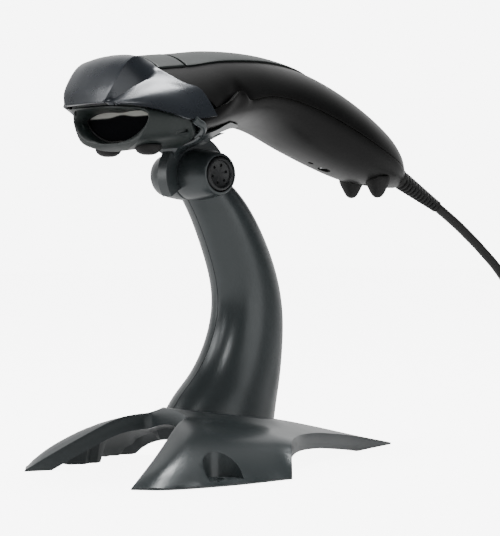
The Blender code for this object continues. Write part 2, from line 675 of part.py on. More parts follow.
MOUTH = [(0.0, -57.0, 143.3), (8.0, -57.0, 143.2), (14.5, -56.2, 142.8), (20.0, -54.4, 141.6),
         (21.7, -53.5, 139.4), (19.3, -54.6, 134.8), (13.5, -55.6, 131.5), (6.5, -56.1, 130.1),
         (0.0, -56.2, 129.8)]
BEZEL = [(0.0, -67.4, 144.0), (8.0, -67.3, 144.0), (14.6, -66.2, 143.8), (21.6, -59.0, 142.4),
         (22.4, -57.4, 138.0), (18.4, -56.6, 131.6), (12.4, -55.2, 128.6), (6.0, -53.4, 127.2),
         (0.0, -52.6, 126.9)]
JAW_MIDDLE = [(0.0, -54.0, 151.0), (9.0, -54.0, 150.0), (18.0, -53.0, 146.2), (25.6, -50.5, 141.6),
              (27.0, -49.0, 137.8), (24.4, -47.6, 132.8), (17.6, -46.2, 129.9), (8.6, -45.4, 128.4),
              (0.0, -45.2, 128.1)]
JAW_REAR = [(0.0, -44.0, 151.0), (10.0, -44.0, 149.6), (20.0, -43.6, 145.4), (28.8, -42.6, 140.4),
            (30.8, -41.6, 137.0), (27.6, -38.4, 133.2), (19.6, -33.4, 130.6), (9.6, -29.6, 129.0),
            (0.0, -28.6, 128.6)]
WINDOW_Y = -50.6


def closed_ring(half, count):
    """A closed ring from its half, which runs from the top middle to the bottom middle."""
    points = [tuple(point) for point in curve_through(half, count)]
    return points + [(-x, y, z) for x, y, z in reversed(points[1:-1])]


def shrunk(ring, step, y):
    """A ring pulled towards its middle and moved to a plane across Y."""
    middle = sum(z for _, _, z in ring) / len(ring)
    out = []
    for x, _, z in ring:
        size = math.hypot(x, z - middle)
        scale = (size - step) / size
        out.append((x * scale, y, middle + (z - middle) * scale))
    return out


def make_head():
    columns = [curve_through(column, 9) for column in HOOD_COLUMNS]
    rows = []
    for index in range(9):
        knots = [tuple(column[index]) for column in columns]
        facet = knots[:3]
        flank = [tuple(point) for point in curve_through(knots[3:], 6)]
        edge = [tuple(Vector(facet[-1]).lerp(Vector(flank[0]), 0.5))]
        half = facet + edge + flank
        rows.append([(-x, y, z) for x, y, z in reversed(half[1:])] + half)
    loft("hood", rows, SCANNER, "gunmetal", ring_closed=False, capped=False, thickness=1.5)

    mouth = closed_ring(MOUTH, 13)
    rings = [shrunk(mouth, 0.8, -52.0), mouth, closed_ring(BEZEL, 13), closed_ring(JAW_MIDDLE, 13),
             closed_ring(JAW_REAR, 13)]
    jaw = loft("jaw_bezel", rings, SCANNER, "green_grey", capped=False, thickness=1.2)
    for side, name in ((-1, "chin_foot_left"), (1, "chin_foot_right")):
        turned(name, [(0.0, 3.6), (2.0, 3.6), (2.0, 1.8), (4.2, 1.6), (4.4, 1.0), (3.4, 0.2), (0.0, 0.0)],
               (side * 12.5, -47.6, 126.0), (0.0, 0.0, 1.0), SCANNER, "rubber", steps=20)
        cut(jaw, rod(f"{name}_hole", (side * 12.5, -47.6, 120.0), (side * 12.5, -47.6, 127.75), 4.8,
                     SCANNER, None))
        cut(jaw, rod(f"{name}_pin", (side * 12.5, -47.6, 120.0), (side * 12.5, -47.6, 133.0), 2.35,
                     SCANNER, None))
    lens_ring = shrunk(mouth, -0.3, WINDOW_Y)
    gasket_in = shrunk(mouth, 1.4, WINDOW_Y - 1.0)
    gasket_out = shrunk(mouth, -0.2, WINDOW_Y - 1.0)
    plate("scan_window", [(x, z) for x, _, z in lens_ring], WINDOW_Y, WINDOW_Y + 1.2, 1, SCANNER, "glass")
    gasket = plate("window_gasket", [(x, z) for x, _, z in gasket_out], WINDOW_Y - 1.0,
                   WINDOW_Y - GAP, 1, SCANNER, "rubber")
    cut(gasket, plate("gasket_opening", [(x, z) for x, _, z in gasket_in], WINDOW_Y - 4.0,
                      WINDOW_Y + 4.0, 1, SCANNER, None))


# ---------------------------------------------------------------- top strip and trigger
STRIP_HALF = [(-45.0, 15.6), (-31.0, 15.8), (-14.0, 15.4), (0.0, 14.6), (12.0, 12.8), (24.0, 10.0),
              (36.0, 6.6), (46.0, 3.2), (51.0, 1.2)]


def strip_grid(front, rear, rows, grow):
    grid = []
    for y in spread(front, rear, rows):
        half = blend(STRIP_HALF, y)[0]
        angle = angle_at(y, half)
        grid.append([section(y, turn, grow) for turn in spread(angle, 180 - angle, 9)])
    return grid


def make_top():
    loft("top_inlay", strip_grid(-31.0, 51.0, 15, 1.4), SCANNER, "green_grey", ring_closed=False,
         capped=False, thickness=1.0, flip=True)
    loft("trigger_button", strip_grid(-45.2, -32.0, 6, 1.3), TRIGGER, "green_grey", ring_closed=False,
         capped=False, thickness=2.6, flip=True)
    turned("switch_plunger", [(0.0, 160.4), (1.6, 160.4), (1.6, 154.2), (0.0, 154.2)],
           (0.0, -38.5, 0.0), (0.0, 0.0, 1.0), TRIGGER, "white", steps=16)


# ---------------------------------------------------------------- inside the scanner
BOARD_Z = 149.4
CHASSIS_Z = 135.8


def make_inside():
    box("main_board", (-15.0, -36.0, BOARD_Z), (15.0, 44.0, BOARD_Z + 1.6), SCANNER, "board")
    switch = box("trigger_switch", (-3.0, -35.6 - 6.0, BOARD_Z + 1.9), (3.0, -35.4, BOARD_Z + 6.2),
                 SCANNER, "component")
    cut(switch, rod("switch_bore", (0.0, -38.5, 152.6), (0.0, -38.5, 170.0), 2.0, SCANNER, None,
                    sides=16))
    turned("beeper", [(0.0, BOARD_Z + 7.4), (5.6, BOARD_Z + 7.4), (6.0, BOARD_Z + 7.0),
                      (6.0, BOARD_Z + 1.9), (0.0, BOARD_Z + 1.9)], (0.0, 14.0, 0.0), (0.0, 0.0, 1.0),
           SCANNER, "component", steps=24)
    box("decoder_chip", (-6.0, -18.0, BOARD_Z + 1.9), (6.0, -6.0, BOARD_Z + 3.5), SCANNER, "component")
    box("cable_socket", (-7.0, 33.0, BOARD_Z - 6.6), (7.0, 43.0, BOARD_Z - 0.3), SCANNER, "white")
    box("cable_plug", (-5.6, 43.4, BOARD_Z - 6.2), (5.6, 50.0, BOARD_Z - 0.9), SCANNER, "white", 0.5)

    chassis = box("optical_chassis", (-16.0, -43.0, CHASSIS_Z), (16.0, -26.4, CHASSIS_Z + 12.4), SCANNER,
                  "component")
    cut(chassis, box("chassis_room", (-14.2, -60.0, CHASSIS_Z + 1.6), (14.2, -28.0, 160.0), SCANNER, None))
    beam_z = CHASSIS_Z + 5.6
    rod("laser_module", (5.8, MIRROR_Y, beam_z), (13.6, MIRROR_Y, beam_z), 3.2, SCANNER, "brass", sides=20)
    plate("scan_mirror", [(-3.6, beam_z - 3.0), (3.6, beam_z - 3.0), (3.6, beam_z + 3.0),
                          (-3.6, beam_z + 3.0)], MIRROR_Y - 0.4, MIRROR_Y + 0.4, 1, MIRROR, "mirror")
    box("mirror_magnet", (-1.6, MIRROR_Y + 0.7, beam_z - 1.4), (1.6, MIRROR_Y + 1.8, beam_z + 1.4), MIRROR,
        "steel")
    turned("mirror_coil", [(3.4, 4.0), (3.4, 2.5), (1.6, 2.5), (1.6, 4.0)], (0.0, MIRROR_Y, beam_z),
           (0.0, 1.0, 0.0), SCANNER, "copper", steps=18, closed=True)
    box("detector_board", (-13.9, -39.0, CHASSIS_Z + 2.0), (-12.7, -29.0, CHASSIS_Z + 10.0), SCANNER,
        "board")
    turned("detector_lens", [(0.0, 3.4), (1.8, 2.9), (3.0, 1.6), (3.2, 0.3), (0.0, 0.3)],
           (-12.7, -34.0, beam_z), (1.0, 0.0, 0.0), SCANNER, "glass", steps=16)


# ---------------------------------------------------------------- cradle
SADDLE_REACH = 56.0     # degrees from straight down to the saddle's upper edges
SADDLE_REAR = [(0.0, 4.0), (20.0, 1.5), (36.0, -5.0), (48.0, -11.0), (SADDLE_REACH, -15.0)]
SADDLE_GAP = 0.55
SADDLE_WALL = 2.0


def make_cradle():
    grid = []
    for u in spread(0.0, 1.0, 11):
        ring = []
        for side in spread(-1.0, 1.0, 21):
            turn = SADDLE_REACH * abs(side)
            front = -27.4 - 12.0 * (turn / 90.0) ** 1.4
            y = front + (blend(SADDLE_REAR, turn)[0] - front) * u
            ring.append(section(y, -90.0 + SADDLE_REACH * side, SADDLE_GAP + SADDLE_WALL))
        grid.append(ring)
    saddle = loft("cradle", grid, CRADLE, "gunmetal", ring_closed=False, capped=False,
                  thickness=SADDLE_WALL, flip=True)
    hub = []
    for index in range(15):
        angle = math.radians(186.0 + (372.0 - 186.0) * index / 14)
        hub.append((HINGE_Y + 7.7 * math.cos(angle), HINGE_Z + 7.7 * math.sin(angle)))
    outline = hub + [(-8.4, 122.8), (-10.4, 125.6), (-10.9, 128.2), (-9.6, 130.8), (-7.4, 132.9),
                     (-4.5, 134.7), (-8.0, 135.0), (-12.0, 133.7), (-20.0, 130.8), (-26.6, 128.8),
                     (-27.6, 128.6), (-26.5, 125.2), (-25.5, 121.3), (-24.4, 120.2)]
    web = plate("cradle_web", outline, -WEB_HALF, WEB_HALF, 0, CRADLE, None)
    join(saddle, web)
    cut(saddle, rod("cradle_bore", (-9.0, HINGE_Y, HINGE_Z), (9.0, HINGE_Y, HINGE_Z), BOLT_R + GAP,
                    CRADLE, None))


# ---------------------------------------------------------------- cord, strain relief and plug
RELIEF_START = (0.0, 103.4, 121.4)
RELIEF_END = (0.0, 132.5, 107.2)
COIL_MIDDLE = (29.5, 254.0)
COIL_TURN_R = 25.0
CORD_ROUTE = [(0.0, 132.8, 107.05), (0.0, 147.0, 98.8), (0.0, 161.0, 89.5), (0.0, 177.0, 77.0),
              (0.0, 190.0, 62.0), (0.0, 198.5, 45.0), (0.0, 205.5, 28.0), (0.0, 213.5, 13.0),
              (0.0, 224.0, 4.2), (0.0, 236.8, 2.3)]
PLUG_Y = 226.0


def tube(name, points, radius, body, look):
    """A bent round wire: a poly curve with a round bevel and filled ends."""
    curve = bpy.data.curves.new(name, "CURVE")
    curve.dimensions = "3D"
    curve.bevel_depth = radius * MM
    curve.bevel_resolution = 2
    curve.use_fill_caps = True
    line = curve.splines.new("POLY")
    line.points.add(len(points) - 1)
    for knot, point in zip(line.points, points):
        knot.co = (*(Vector(point) * MM), 1.0)
    return place(bpy.data.objects.new(name, curve), body, look)


def make_cord():
    start, end = Vector(RELIEF_START), Vector(RELIEF_END)
    length = (end - start).length
    profile = [(0.0, length), (2.5, length)]
    ribs = 9
    for index in range(ribs):
        high = length - 0.8 - (length - 5.0) * index / ribs
        wide = 2.6 + 0.9 * index / ribs
        profile += [(wide, high), (wide, high - 1.3), (wide - 0.45, high - 1.7)]
    profile += [(3.6, 4.0), (3.6, 0.0), (0.0, 0.0)]
    turned("strain_relief", profile, start, end - start, SCANNER, "rubber", steps=12)
    inner = curve_through([(0.0, 101.9, 122.2), (2.0, 97.6, 125.2), (7.2, 87.0, 133.4),
                           (7.2, 72.0, 140.4), (6.8, 61.0, 144.4), (3.4, 55.5, 145.9),
                           (0.0, 51.2, 145.8)], 14)
    tube("inner_lead", inner, 1.9, SCANNER, "black")
    tube("cord_run", curve_through(CORD_ROUTE, 22), CORD_R, STAND, "black")
    x, y = COIL_MIDDLE
    wide, tall = 6.6, 12.8
    profile = [(COIL_TURN_R - wide, tall), (COIL_TURN_R + wide, tall), (COIL_TURN_R + wide, 0.0),
               (COIL_TURN_R - wide, 0.0)]
    turned("cord_coil", profile, (x, y, 0.0), (0.0, 0.0, 1.0), STAND, "black", steps=40, closed=True)
    plug_x = x + COIL_TURN_R + 4.3
    tube("cord_tail", [(plug_x, PLUG_Y + 11.4, CORD_R), (plug_x, PLUG_Y + 8.0, CORD_R + 0.4),
                       (plug_x, PLUG_Y + 0.3, 3.9)], CORD_R, STAND, "black")
    box("plug_grip", (plug_x - 7.6, PLUG_Y - 20.0, 0.0), (plug_x + 7.6, PLUG_Y, 7.8), STAND, "black", 1.4)
    shell = box("plug_shell", (plug_x - 6.0, PLUG_Y - 32.3, 1.6), (plug_x + 6.0, PLUG_Y - 20.3, 6.1), STAND,
                "steel")
    cut(shell, box("plug_mouth", (plug_x - 5.6, PLUG_Y - 40.0, 2.0), (plug_x + 5.6, PLUG_Y - 21.5, 5.7),
                   STAND, None))
    box("plug_tongue", (plug_x - 5.3, PLUG_Y - 31.5, 2.3), (plug_x + 5.3, PLUG_Y - 21.9, 4.1), STAND,
        "white")


def make_tail_feet(lower):
    for side, name in ((-1, "tail_foot_left"), (1, "tail_foot_right")):
        bottom = section(85.0, 270.0 + side * 26.0)
        turned(name, [(0.0, 8.0), (5.4, 8.0), (5.2, 4.6), (3.6, 1.6), (1.8, 0.3), (0.0, 0.0)],
               (side * 8.0, 85.0, bottom[2] - 7.0), (0.0, 0.0, 1.0), SCANNER, "rubber", steps=18)
        cut(lower, rod(f"{name}_hole", (side * 8.0, 85.0, 100.0), (side * 8.0, 85.0, 124.0), 5.4 + GAP,
                       SCANNER, None))


make_base()
make_neck()
LOWER = make_shells()
make_head()
make_top()
make_inside()
make_cradle()
make_cord()
make_tail_feet(LOWER)
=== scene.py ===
"""Looks of a corded barcode scanner resting in its counter stand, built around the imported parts.

Shapes are laid out in millimetres from the foot of the stand's neck, as in the parts: X across, Y back from
the scanner's nose, Z up.  at() turns such a point into the frame's metres.
"""
import json
import math

import bmesh
import bpy
from mathutils import Matrix, Vector
from mathutils.geometry import delaunay_2d_cdt


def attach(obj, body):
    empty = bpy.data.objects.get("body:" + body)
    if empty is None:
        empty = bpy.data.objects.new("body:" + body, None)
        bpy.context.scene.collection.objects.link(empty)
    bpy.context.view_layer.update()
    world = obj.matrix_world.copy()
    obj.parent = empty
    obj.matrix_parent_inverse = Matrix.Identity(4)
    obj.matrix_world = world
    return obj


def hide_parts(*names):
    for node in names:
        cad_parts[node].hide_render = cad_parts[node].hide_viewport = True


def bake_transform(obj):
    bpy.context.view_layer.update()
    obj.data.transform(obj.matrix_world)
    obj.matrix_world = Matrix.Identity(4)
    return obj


MM = 0.001
IMAGE_TALL = 536

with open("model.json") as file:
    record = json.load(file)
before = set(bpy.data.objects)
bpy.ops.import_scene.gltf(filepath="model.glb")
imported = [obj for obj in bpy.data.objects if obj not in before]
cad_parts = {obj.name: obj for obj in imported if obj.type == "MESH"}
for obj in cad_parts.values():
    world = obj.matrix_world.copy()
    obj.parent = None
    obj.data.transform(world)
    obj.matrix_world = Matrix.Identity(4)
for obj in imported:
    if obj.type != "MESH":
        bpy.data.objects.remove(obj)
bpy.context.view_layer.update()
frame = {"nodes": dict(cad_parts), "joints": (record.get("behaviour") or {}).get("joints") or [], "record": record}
JOINTS = {joint["name"]: joint for joint in frame["joints"]}

HINGE_Y, HINGE_Z = -14.5, 118.6
ORIGIN_Y = JOINTS["cradle_tilt"]["pos_m"][1] / MM - HINGE_Y
TIP_Y = -73.0
TAIL_Y = 103.0
FLOOR_CLEAR = 0.4
BARREL_R = 10.5
BARREL_HALF = 17.2
BARREL_EDGE = [(2.8, 0.0), (2.3, 0.25), (2.0, 0.8), (1.3, 4.0), (0.6, 8.5), (0.15, 12.5)]
SLOT_HALF = 2.75
PIN_BORE_R = 2.55
WEB_HALF = 2.4
SEAM_HALF = 0.17
SIDES = ((-1, "left"), (1, "right"))
CORD_R = 2.2


# ---------------- small helpers
def at(x, y, z):
    return Vector((x, y + ORIGIN_Y, z)) * MM


def spread(low, high, count):
    return [low + (high - low) * index / (count - 1) for index in range(count)]


def ease(value, low, high):
    """0 before low, 1 after high, with a soft step between."""
    t = max(0.0, min(1.0, (value - low) / (high - low)))
    return t * t * (3 - 2 * t)


def blend(table, where):
    """Smooth values between the rows of a table whose first column is the place."""
    if where <= table[0][0]:
        return table[0][1:]
    for index, (first, second) in enumerate(zip(table, table[1:])):
        if where <= second[0]:
            span = second[0] - first[0]
            t = (where - first[0]) / span
            before = table[max(index - 1, 0)]
            after = table[min(index + 2, len(table) - 1)]
            values = []
            for a, b, c, d in zip(before[1:], first[1:], second[1:], after[1:]):
                rise_b = (c - a) / max(second[0] - before[0], 1e-9) * span
                rise_c = (d - b) / max(after[0] - first[0], 1e-9) * span
                values.append((2 * t ** 3 - 3 * t * t + 1) * b + (t ** 3 - 2 * t * t + t) * rise_b
                              + (3 * t * t - 2 * t ** 3) * c + (t ** 3 - t * t) * rise_c)
            return tuple(values)
    return table[-1][1:]


def curve_through(points, count):
    """Points at even spacing on a smooth curve through the given ones (Catmull-Rom)."""
    knots = [Vector(point) for point in points]
    ends = [2 * knots[0] - knots[1], *knots, 2 * knots[-1] - knots[-2]]
    fine = []
    for a, b, c, d in zip(ends, ends[1:], ends[2:], ends[3:]):
        for step in range(20):
            t = step / 20
            fine.append(0.5 * (2 * b + (c - a) * t + (2 * a - 5 * b + 4 * c - d) * t * t
                               + (3 * b - a - 3 * c + d) * t ** 3))
    fine.append(knots[-1])
    return resample(fine, count)


def resample(fine, count):
    lengths = [0.0]
    for first, second in zip(fine, fine[1:]):
        lengths.append(lengths[-1] + (second - first).length)
    out = []
    index = 0
    for step in range(count):
        goal = lengths[-1] * step / (count - 1)
        while index < len(fine) - 2 and lengths[index + 1] < goal:
            index += 1
        span = max(lengths[index + 1] - lengths[index], 1e-9)
        out.append(fine[index].lerp(fine[index + 1], (goal - lengths[index]) / span))
    return out


def soft_min(first, second, radius):
    mix = max(0.0, min(1.0, 0.5 + 0.5 * (second - first) / radius))
    return second + (first - second) * mix - radius * mix * (1 - mix)


def squared(angle, power):
    """A point of the unit circle; a power under 1 squares the circle up."""
    cosine, sine = math.cos(angle), math.sin(angle)
    return math.copysign(abs(cosine) ** power, cosine), math.copysign(abs(sine) ** power, sine)


def squared_ring(power):
    return [squared(2 * math.pi * step / 48, power) for step in range(48)]


def arc(x, y, radius, start, end, count):
    """Points on a circle, from one angle to another in degrees."""
    turns = [math.radians(angle) for angle in spread(start, end, count)]
    return [(x + radius * math.cos(turn), y + radius * math.sin(turn)) for turn in turns]


def inside(spot, plan):
    hit = False
    for first, second in zip(plan, plan[1:] + plan[:1]):
        if (first.y > spot.y) != (second.y > spot.y):
            if spot.x < first.x + (spot.y - first.y) * (second.x - first.x) / (second.y - first.y):
                hit = not hit
    return hit


def clearance(spot, plan):
    """How far a point is from the nearest side of a plan."""
    near = 1e9
    for first, second in zip(plan, plan[1:] + plan[:1]):
        along = second - first
        t = max(0.0, min(1.0, (spot - first).dot(along) / max(along.length_squared, 1e-9)))
        near = min(near, (spot - first - along * t).length)
    return near


def triangulated(plan, inner):
    """The plan's points and the inner ones, with the triangles between them."""
    edges = [(index, (index + 1) % len(plan)) for index in range(len(plan))]
    spots, _, faces, *_ = delaunay_2d_cdt(plan + inner, edges, [], 1, 1e-6)
    return spots, faces


# ---------------- pieces
def add_item(name, bm, outward=False):
    """Make the mesh an object; a closed one has its faces turned outward first."""
    if outward:
        bmesh.ops.recalc_face_normals(bm, faces=bm.faces)
    mesh = bpy.data.meshes.new(name)
    bm.to_mesh(mesh)
    bm.free()
    item = bpy.data.objects.new(name, mesh)
    bpy.context.scene.collection.objects.link(item)
    return item


def settle(item, rim=0.0, sharp=42.0, segments=3):
    """Round the sharp edges, apply every modifier, and shade smooth up to the given angle."""
    if rim:
        edges = item.modifiers.new("rim", "BEVEL")
        edges.width = rim * MM
        edges.segments = segments
        edges.limit_method = "ANGLE"
        edges.angle_limit = math.radians(40.0)
    if item.modifiers:
        bpy.context.view_layer.update()
        graph = bpy.context.evaluated_depsgraph_get()
        mesh = bpy.data.meshes.new_from_object(item.evaluated_get(graph))
        item.modifiers.clear()
        item.data = mesh
    item.data.shade_smooth()
    item.data.set_sharp_from_angle(angle=math.radians(sharp))
    return item


def dress(item, body, slot, *nodes):
    """Give a finished piece its material and its body, and hide the CAD nodes it stands for."""
    item.data.materials.clear()
    item.data.materials.append(material_of(slot))
    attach(item, body)
    if nodes:
        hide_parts(*nodes)
    return item


def bridge(bm, near, far, closed=True):
    """Faces between two rows of points; a row of a single point makes triangles."""
    count = max(len(near), len(far))
    for index in range(count if closed else count - 1):
        after = (index + 1) % count
        corners = (near[index % len(near)], near[after % len(near)], far[after % len(far)],
                   far[index % len(far)])
        bm.faces.new(list(dict.fromkeys(corners)))


def skin(name, rings, closed=True, capped=True, thickness=0.0, flip=False):
    """Skin a row of sections; an open skin gets a wall thickness towards its inside."""
    bm = bmesh.new()
    grid = [[bm.verts.new(at(*point)) for point in ring] for ring in rings]
    for near, far in zip(grid, grid[1:]):
        bridge(bm, near, far, closed)
    if capped:
        bm.faces.new(grid[0])
        bm.faces.new(grid[-1])
    if flip:
        bmesh.ops.reverse_faces(bm, faces=bm.faces)
    item = add_item(name, bm, outward=capped)
    if thickness:
        wall = item.modifiers.new("wall", "SOLIDIFY")
        wall.thickness = thickness * MM
        wall.offset = -1.0
    return item


def sheet(name, rows, thickness, flip=True):
    return skin(name, rows, closed=False, capped=False, thickness=thickness, flip=flip)


def turned(name, profile, origin, direction, steps=64):
    """Turn a (radius, height) profile about an axis; one that stays off the axis makes a ring."""
    origin = at(*origin)
    turn = Vector(direction).to_track_quat("Z", "Y").to_matrix()
    open_ends = profile[0][0] > 0 or profile[-1][0] > 0
    bm = bmesh.new()
    rings = []
    for radius, height in profile:
        if radius == 0:
            rings.append([bm.verts.new(origin + turn @ Vector((0, 0, height * MM)))])
            continue
        ring = []
        for index in range(steps):
            angle = 2 * math.pi * index / steps
            spot = Vector((radius * math.cos(angle), radius * math.sin(angle), height)) * MM
            ring.append(bm.verts.new(origin + turn @ spot))
        rings.append(ring)
    pairs = list(zip(rings, rings[1:]))
    if open_ends:
        pairs.append((rings[-1], rings[0]))
    for near, far in pairs:
        bridge(bm, near, far)
    return add_item(name, bm, outward=True)


def rod(name, start, end, radius, sides=48):
    start, end = Vector(start), Vector(end)
    length = (end - start).length
    return turned(name, [(0, 0), (radius, 0), (radius, length), (0, length)], start, end - start, sides)


def upright(name, x, y, low, high, radius, sides=24):
    return rod(name, (x, y, low), (x, y, high), radius, sides)


def on_hinge(name, near, far, radius, sides):
    """A rod on the hinge's axis, between two places across."""
    return rod(name, (near, HINGE_Y, HINGE_Z), (far, HINGE_Y, HINGE_Z), radius, sides)


def box(name, low, high):
    bm = bmesh.new()
    bmesh.ops.create_cube(bm, size=1.0)
    low, high = at(*low), at(*high)
    size = Matrix.Diagonal((*(high - low), 1.0))
    bmesh.ops.transform(bm, matrix=Matrix.Translation((high + low) / 2) @ size, verts=bm.verts)
    return add_item(name, bm)


def plate(name, outline, low, high, axis=0):
    """A flat outline given thickness along X (axis 0) or Y (axis 1)."""
    bm = bmesh.new()
    sides = []
    for level in (low, high):
        spots = []
        for point in outline:
            row = list(point)
            row.insert(axis, level)
            spots.append(bm.verts.new(at(*row)))
        sides.append(spots)
    bm.faces.new(sides[0])
    bm.faces.new(sides[1])
    bridge(bm, *sides)
    return add_item(name, bm, outward=True)


def layered(name, faces, upper, lower):
    """A solid between two layers of points that share their triangles, walled along its rim."""
    bm = bmesh.new()
    tops = [bm.verts.new(point) for point in upper]
    bottoms = [bm.verts.new(point) for point in lower]
    used = set()
    for face in faces:
        bm.faces.new([tops[index] for index in face])
        bm.faces.new([bottoms[index] for index in reversed(face)])
        used.update(zip(face, face[1:] + face[:1]))
    for first, second in used:
        if (second, first) not in used:
            bm.faces.new((tops[second], tops[first], bottoms[first], bottoms[second]))
    bmesh.ops.delete(bm, geom=[vert for vert in bm.verts if not vert.link_faces], context="VERTS")
    return add_item(name, bm, outward=True)


def combine(item, operation, *others):
    """Join or cut a piece with others, which are used up."""
    for other in others:
        step = item.modifiers.new(operation.lower(), "BOOLEAN")
        step.operation = operation
        step.solver = "EXACT"
        step.object = other
    settle(item)
    for other in others:
        bpy.data.objects.remove(other, do_unlink=True)
    return item


# ---------------- materials
FINISHES = {  # colour, roughness, metallic, mottle, grain depth and size (mm), flake, coat, specular
    "stand_gunmetal": ((0.030, 0.037, 0.039), 0.30, 0.20, 0.04, 0.000, 0.60, 0.00, 0.00, 0.50),
    "hood_gunmetal": ((0.020, 0.024, 0.030), 0.28, 0.30, 0.04, 0.000, 0.60, 0.00, 0.00, 0.60),
    "green_grey": ((0.013, 0.018, 0.017), 0.42, 0.05, 0.07, 0.004, 0.80, 0.02, 0.00, 0.36),
    "shell_black": ((0.004, 0.004, 0.004), 0.34, 0.00, 0.05, 0.000, 0.50, 0.00, 0.00, 0.14),
    "knob_dark": ((0.012, 0.013, 0.014), 0.40, 0.00, 0.08, 0.004, 0.40, 0.00, 0.00, 0.35),
    "rubber_black": ((0.006, 0.006, 0.006), 0.60, 0.00, 0.12, 0.020, 0.30, 0.00, 0.00, 0.30),
    "cord_black": ((0.006, 0.006, 0.006), 0.50, 0.00, 0.10, 0.014, 0.40, 0.00, 0.00, 0.30),
    "window": ((0.004, 0.004, 0.005), 0.08, 0.00, 0.05, 0.000, 1.00, 0.00, 0.00, 0.12),
    "steel": ((0.520, 0.530, 0.540), 0.28, 1.00, 0.06, 0.006, 0.30, 0.00, 0.00, 0.50),
    "brass": ((0.600, 0.450, 0.200), 0.28, 1.00, 0.06, 0.006, 0.30, 0.00, 0.00, 0.50),
    "mirror": ((0.850, 0.860, 0.870), 0.03, 1.00, 0.01, 0.000, 1.00, 0.00, 0.00, 0.50),
    "board": ((0.018, 0.110, 0.045), 0.40, 0.00, 0.12, 0.010, 0.60, 0.00, 0.20, 0.50),
    "component": ((0.025, 0.025, 0.027), 0.42, 0.00, 0.08, 0.010, 0.30, 0.00, 0.00, 0.50),
    "copper": ((0.550, 0.230, 0.110), 0.32, 1.00, 0.10, 0.020, 0.25, 0.00, 0.00, 0.50),
    "white_plastic": ((0.550, 0.550, 0.520), 0.45, 0.00, 0.04, 0.008, 0.40, 0.00, 0.00, 0.50),
}
MATERIALS = {}
FLAKE_MM = 0.28
MOTTLE_SCALE, GLOSS_SCALE = 45.0, 160.0         # waves to the metre, about
GLOSS_SPREAD = 0.05
COAT_ROUGHNESS = 0.18


def fill(tree, made, inputs):
    """Set a node's inputs, by name or by place, to values or to other nodes' outputs."""
    for label, value in inputs.items():
        if isinstance(value, bpy.types.NodeSocket):
            tree.links.new(value, made.inputs[label])
        else:
            made.inputs[label].default_value = value


def node(tree, kind, output, inputs, **settings):
    """Add a node to the tree and give back one of its outputs."""
    made = tree.nodes.new("ShaderNode" + kind)
    for label, value in settings.items():
        setattr(made, label, value)
    fill(tree, made, inputs)
    return made.outputs[output]


def map_range(tree, value, low, high, to_low, to_high, kind="LINEAR"):
    inputs = {"Value": value, "From Min": low, "From Max": high, "To Min": to_low, "To Max": to_high}
    return node(tree, "MapRange", "Result", inputs, interpolation_type=kind)


def scaled(tree, colour, factor):
    return node(tree, "VectorMath", "Vector", {0: colour, "Scale": factor}, operation="SCALE")


def material_of(slot):
    """The slot's finish: mottled colour and gloss, with a fine moulded grain or metallic flake in some."""
    if slot in MATERIALS:
        return MATERIALS[slot]
    colour, roughness, metallic, mottle, grain, grain_mm, flake, coat, specular = FINISHES[slot]
    material = bpy.data.materials.new(slot)
    material.use_nodes = True
    tree = material.node_tree
    place = node(tree, "TexCoord", "Object", {})

    def noise(scale, detail):
        return node(tree, "TexNoise", "Fac", {"Scale": scale, "Detail": detail, "Vector": place})

    tinted = scaled(tree, colour, map_range(tree, noise(MOTTLE_SCALE, 4.0), 0.3, 0.7, 1 - mottle, 1 + mottle))
    gloss = map_range(tree, noise(GLOSS_SCALE, 3.0), 0.3, 0.7, (1 - GLOSS_SPREAD) * roughness,
                      (1 + GLOSS_SPREAD) * roughness)
    if flake:
        cells = node(tree, "TexVoronoi", "Color", {"Scale": 1.0 / (FLAKE_MM * MM), "Vector": place})
        pick = node(tree, "SeparateColor", "Red", {"Color": cells})
        tinted = scaled(tree, tinted, map_range(tree, pick, 0.55, 1.0, 1.0, 1.0 + 1.6 * flake))
    inputs = {"Metallic": metallic, "Coat Weight": coat, "Coat Roughness": COAT_ROUGHNESS,
              "Specular IOR Level": specular, "Base Color": tinted, "Roughness": gloss}
    if grain:
        fine = noise(1.0 / (grain_mm * MM), 2.0)
        bump = {"Strength": 0.6, "Distance": grain * MM, "Height": fine}
        inputs["Normal"] = node(tree, "Bump", "Normal", bump)
    fill(tree, tree.nodes["Principled BSDF"], inputs)
    MATERIALS[slot] = material
    return material


def dress_cad_nodes():
    slots = {part["node"]: part["material_slot"] for part in frame["record"]["subparts"]}
    for name, item in frame["nodes"].items():
        material = material_of(slots[name])
        if not item.material_slots:
            item.data.materials.append(material)
        for slot in item.material_slots:
            slot.material = material


# ---------------- camera, floor and light
CAMERA_SPOT = (549.9, -480.0, 95.1)
CAMERA_TURN = 47.9              # degrees it looks to the left of +Y
FOCAL_LENGTHS = 1780.0 / IMAGE_TALL
SHIFT = -35.0 / IMAGE_TALL


def make_camera():
    data = bpy.data.cameras.new("camera")
    data.sensor_width = 36.0
    data.lens = 36.0 * FOCAL_LENGTHS
    data.shift_y = SHIFT
    data.clip_start = 0.01
    camera = bpy.data.objects.new("camera", data)
    camera.location = at(*CAMERA_SPOT)
    camera.rotation_euler = (math.radians(90.0), 0.0, math.radians(CAMERA_TURN))
    bpy.context.scene.collection.objects.link(camera)
    bpy.context.scene.camera = camera


def area_light(name, spot, target, wide, tall, watts):
    data = bpy.data.lights.new(name, "AREA")
    data.shape = "RECTANGLE"
    data.size = wide
    data.size_y = tall
    data.energy = watts
    item = bpy.data.objects.new(name, data)
    item.location = spot
    item.rotation_euler = (Vector(target) - Vector(spot)).to_track_quat("-Z", "Y").to_euler()
    bpy.context.scene.collection.objects.link(item)


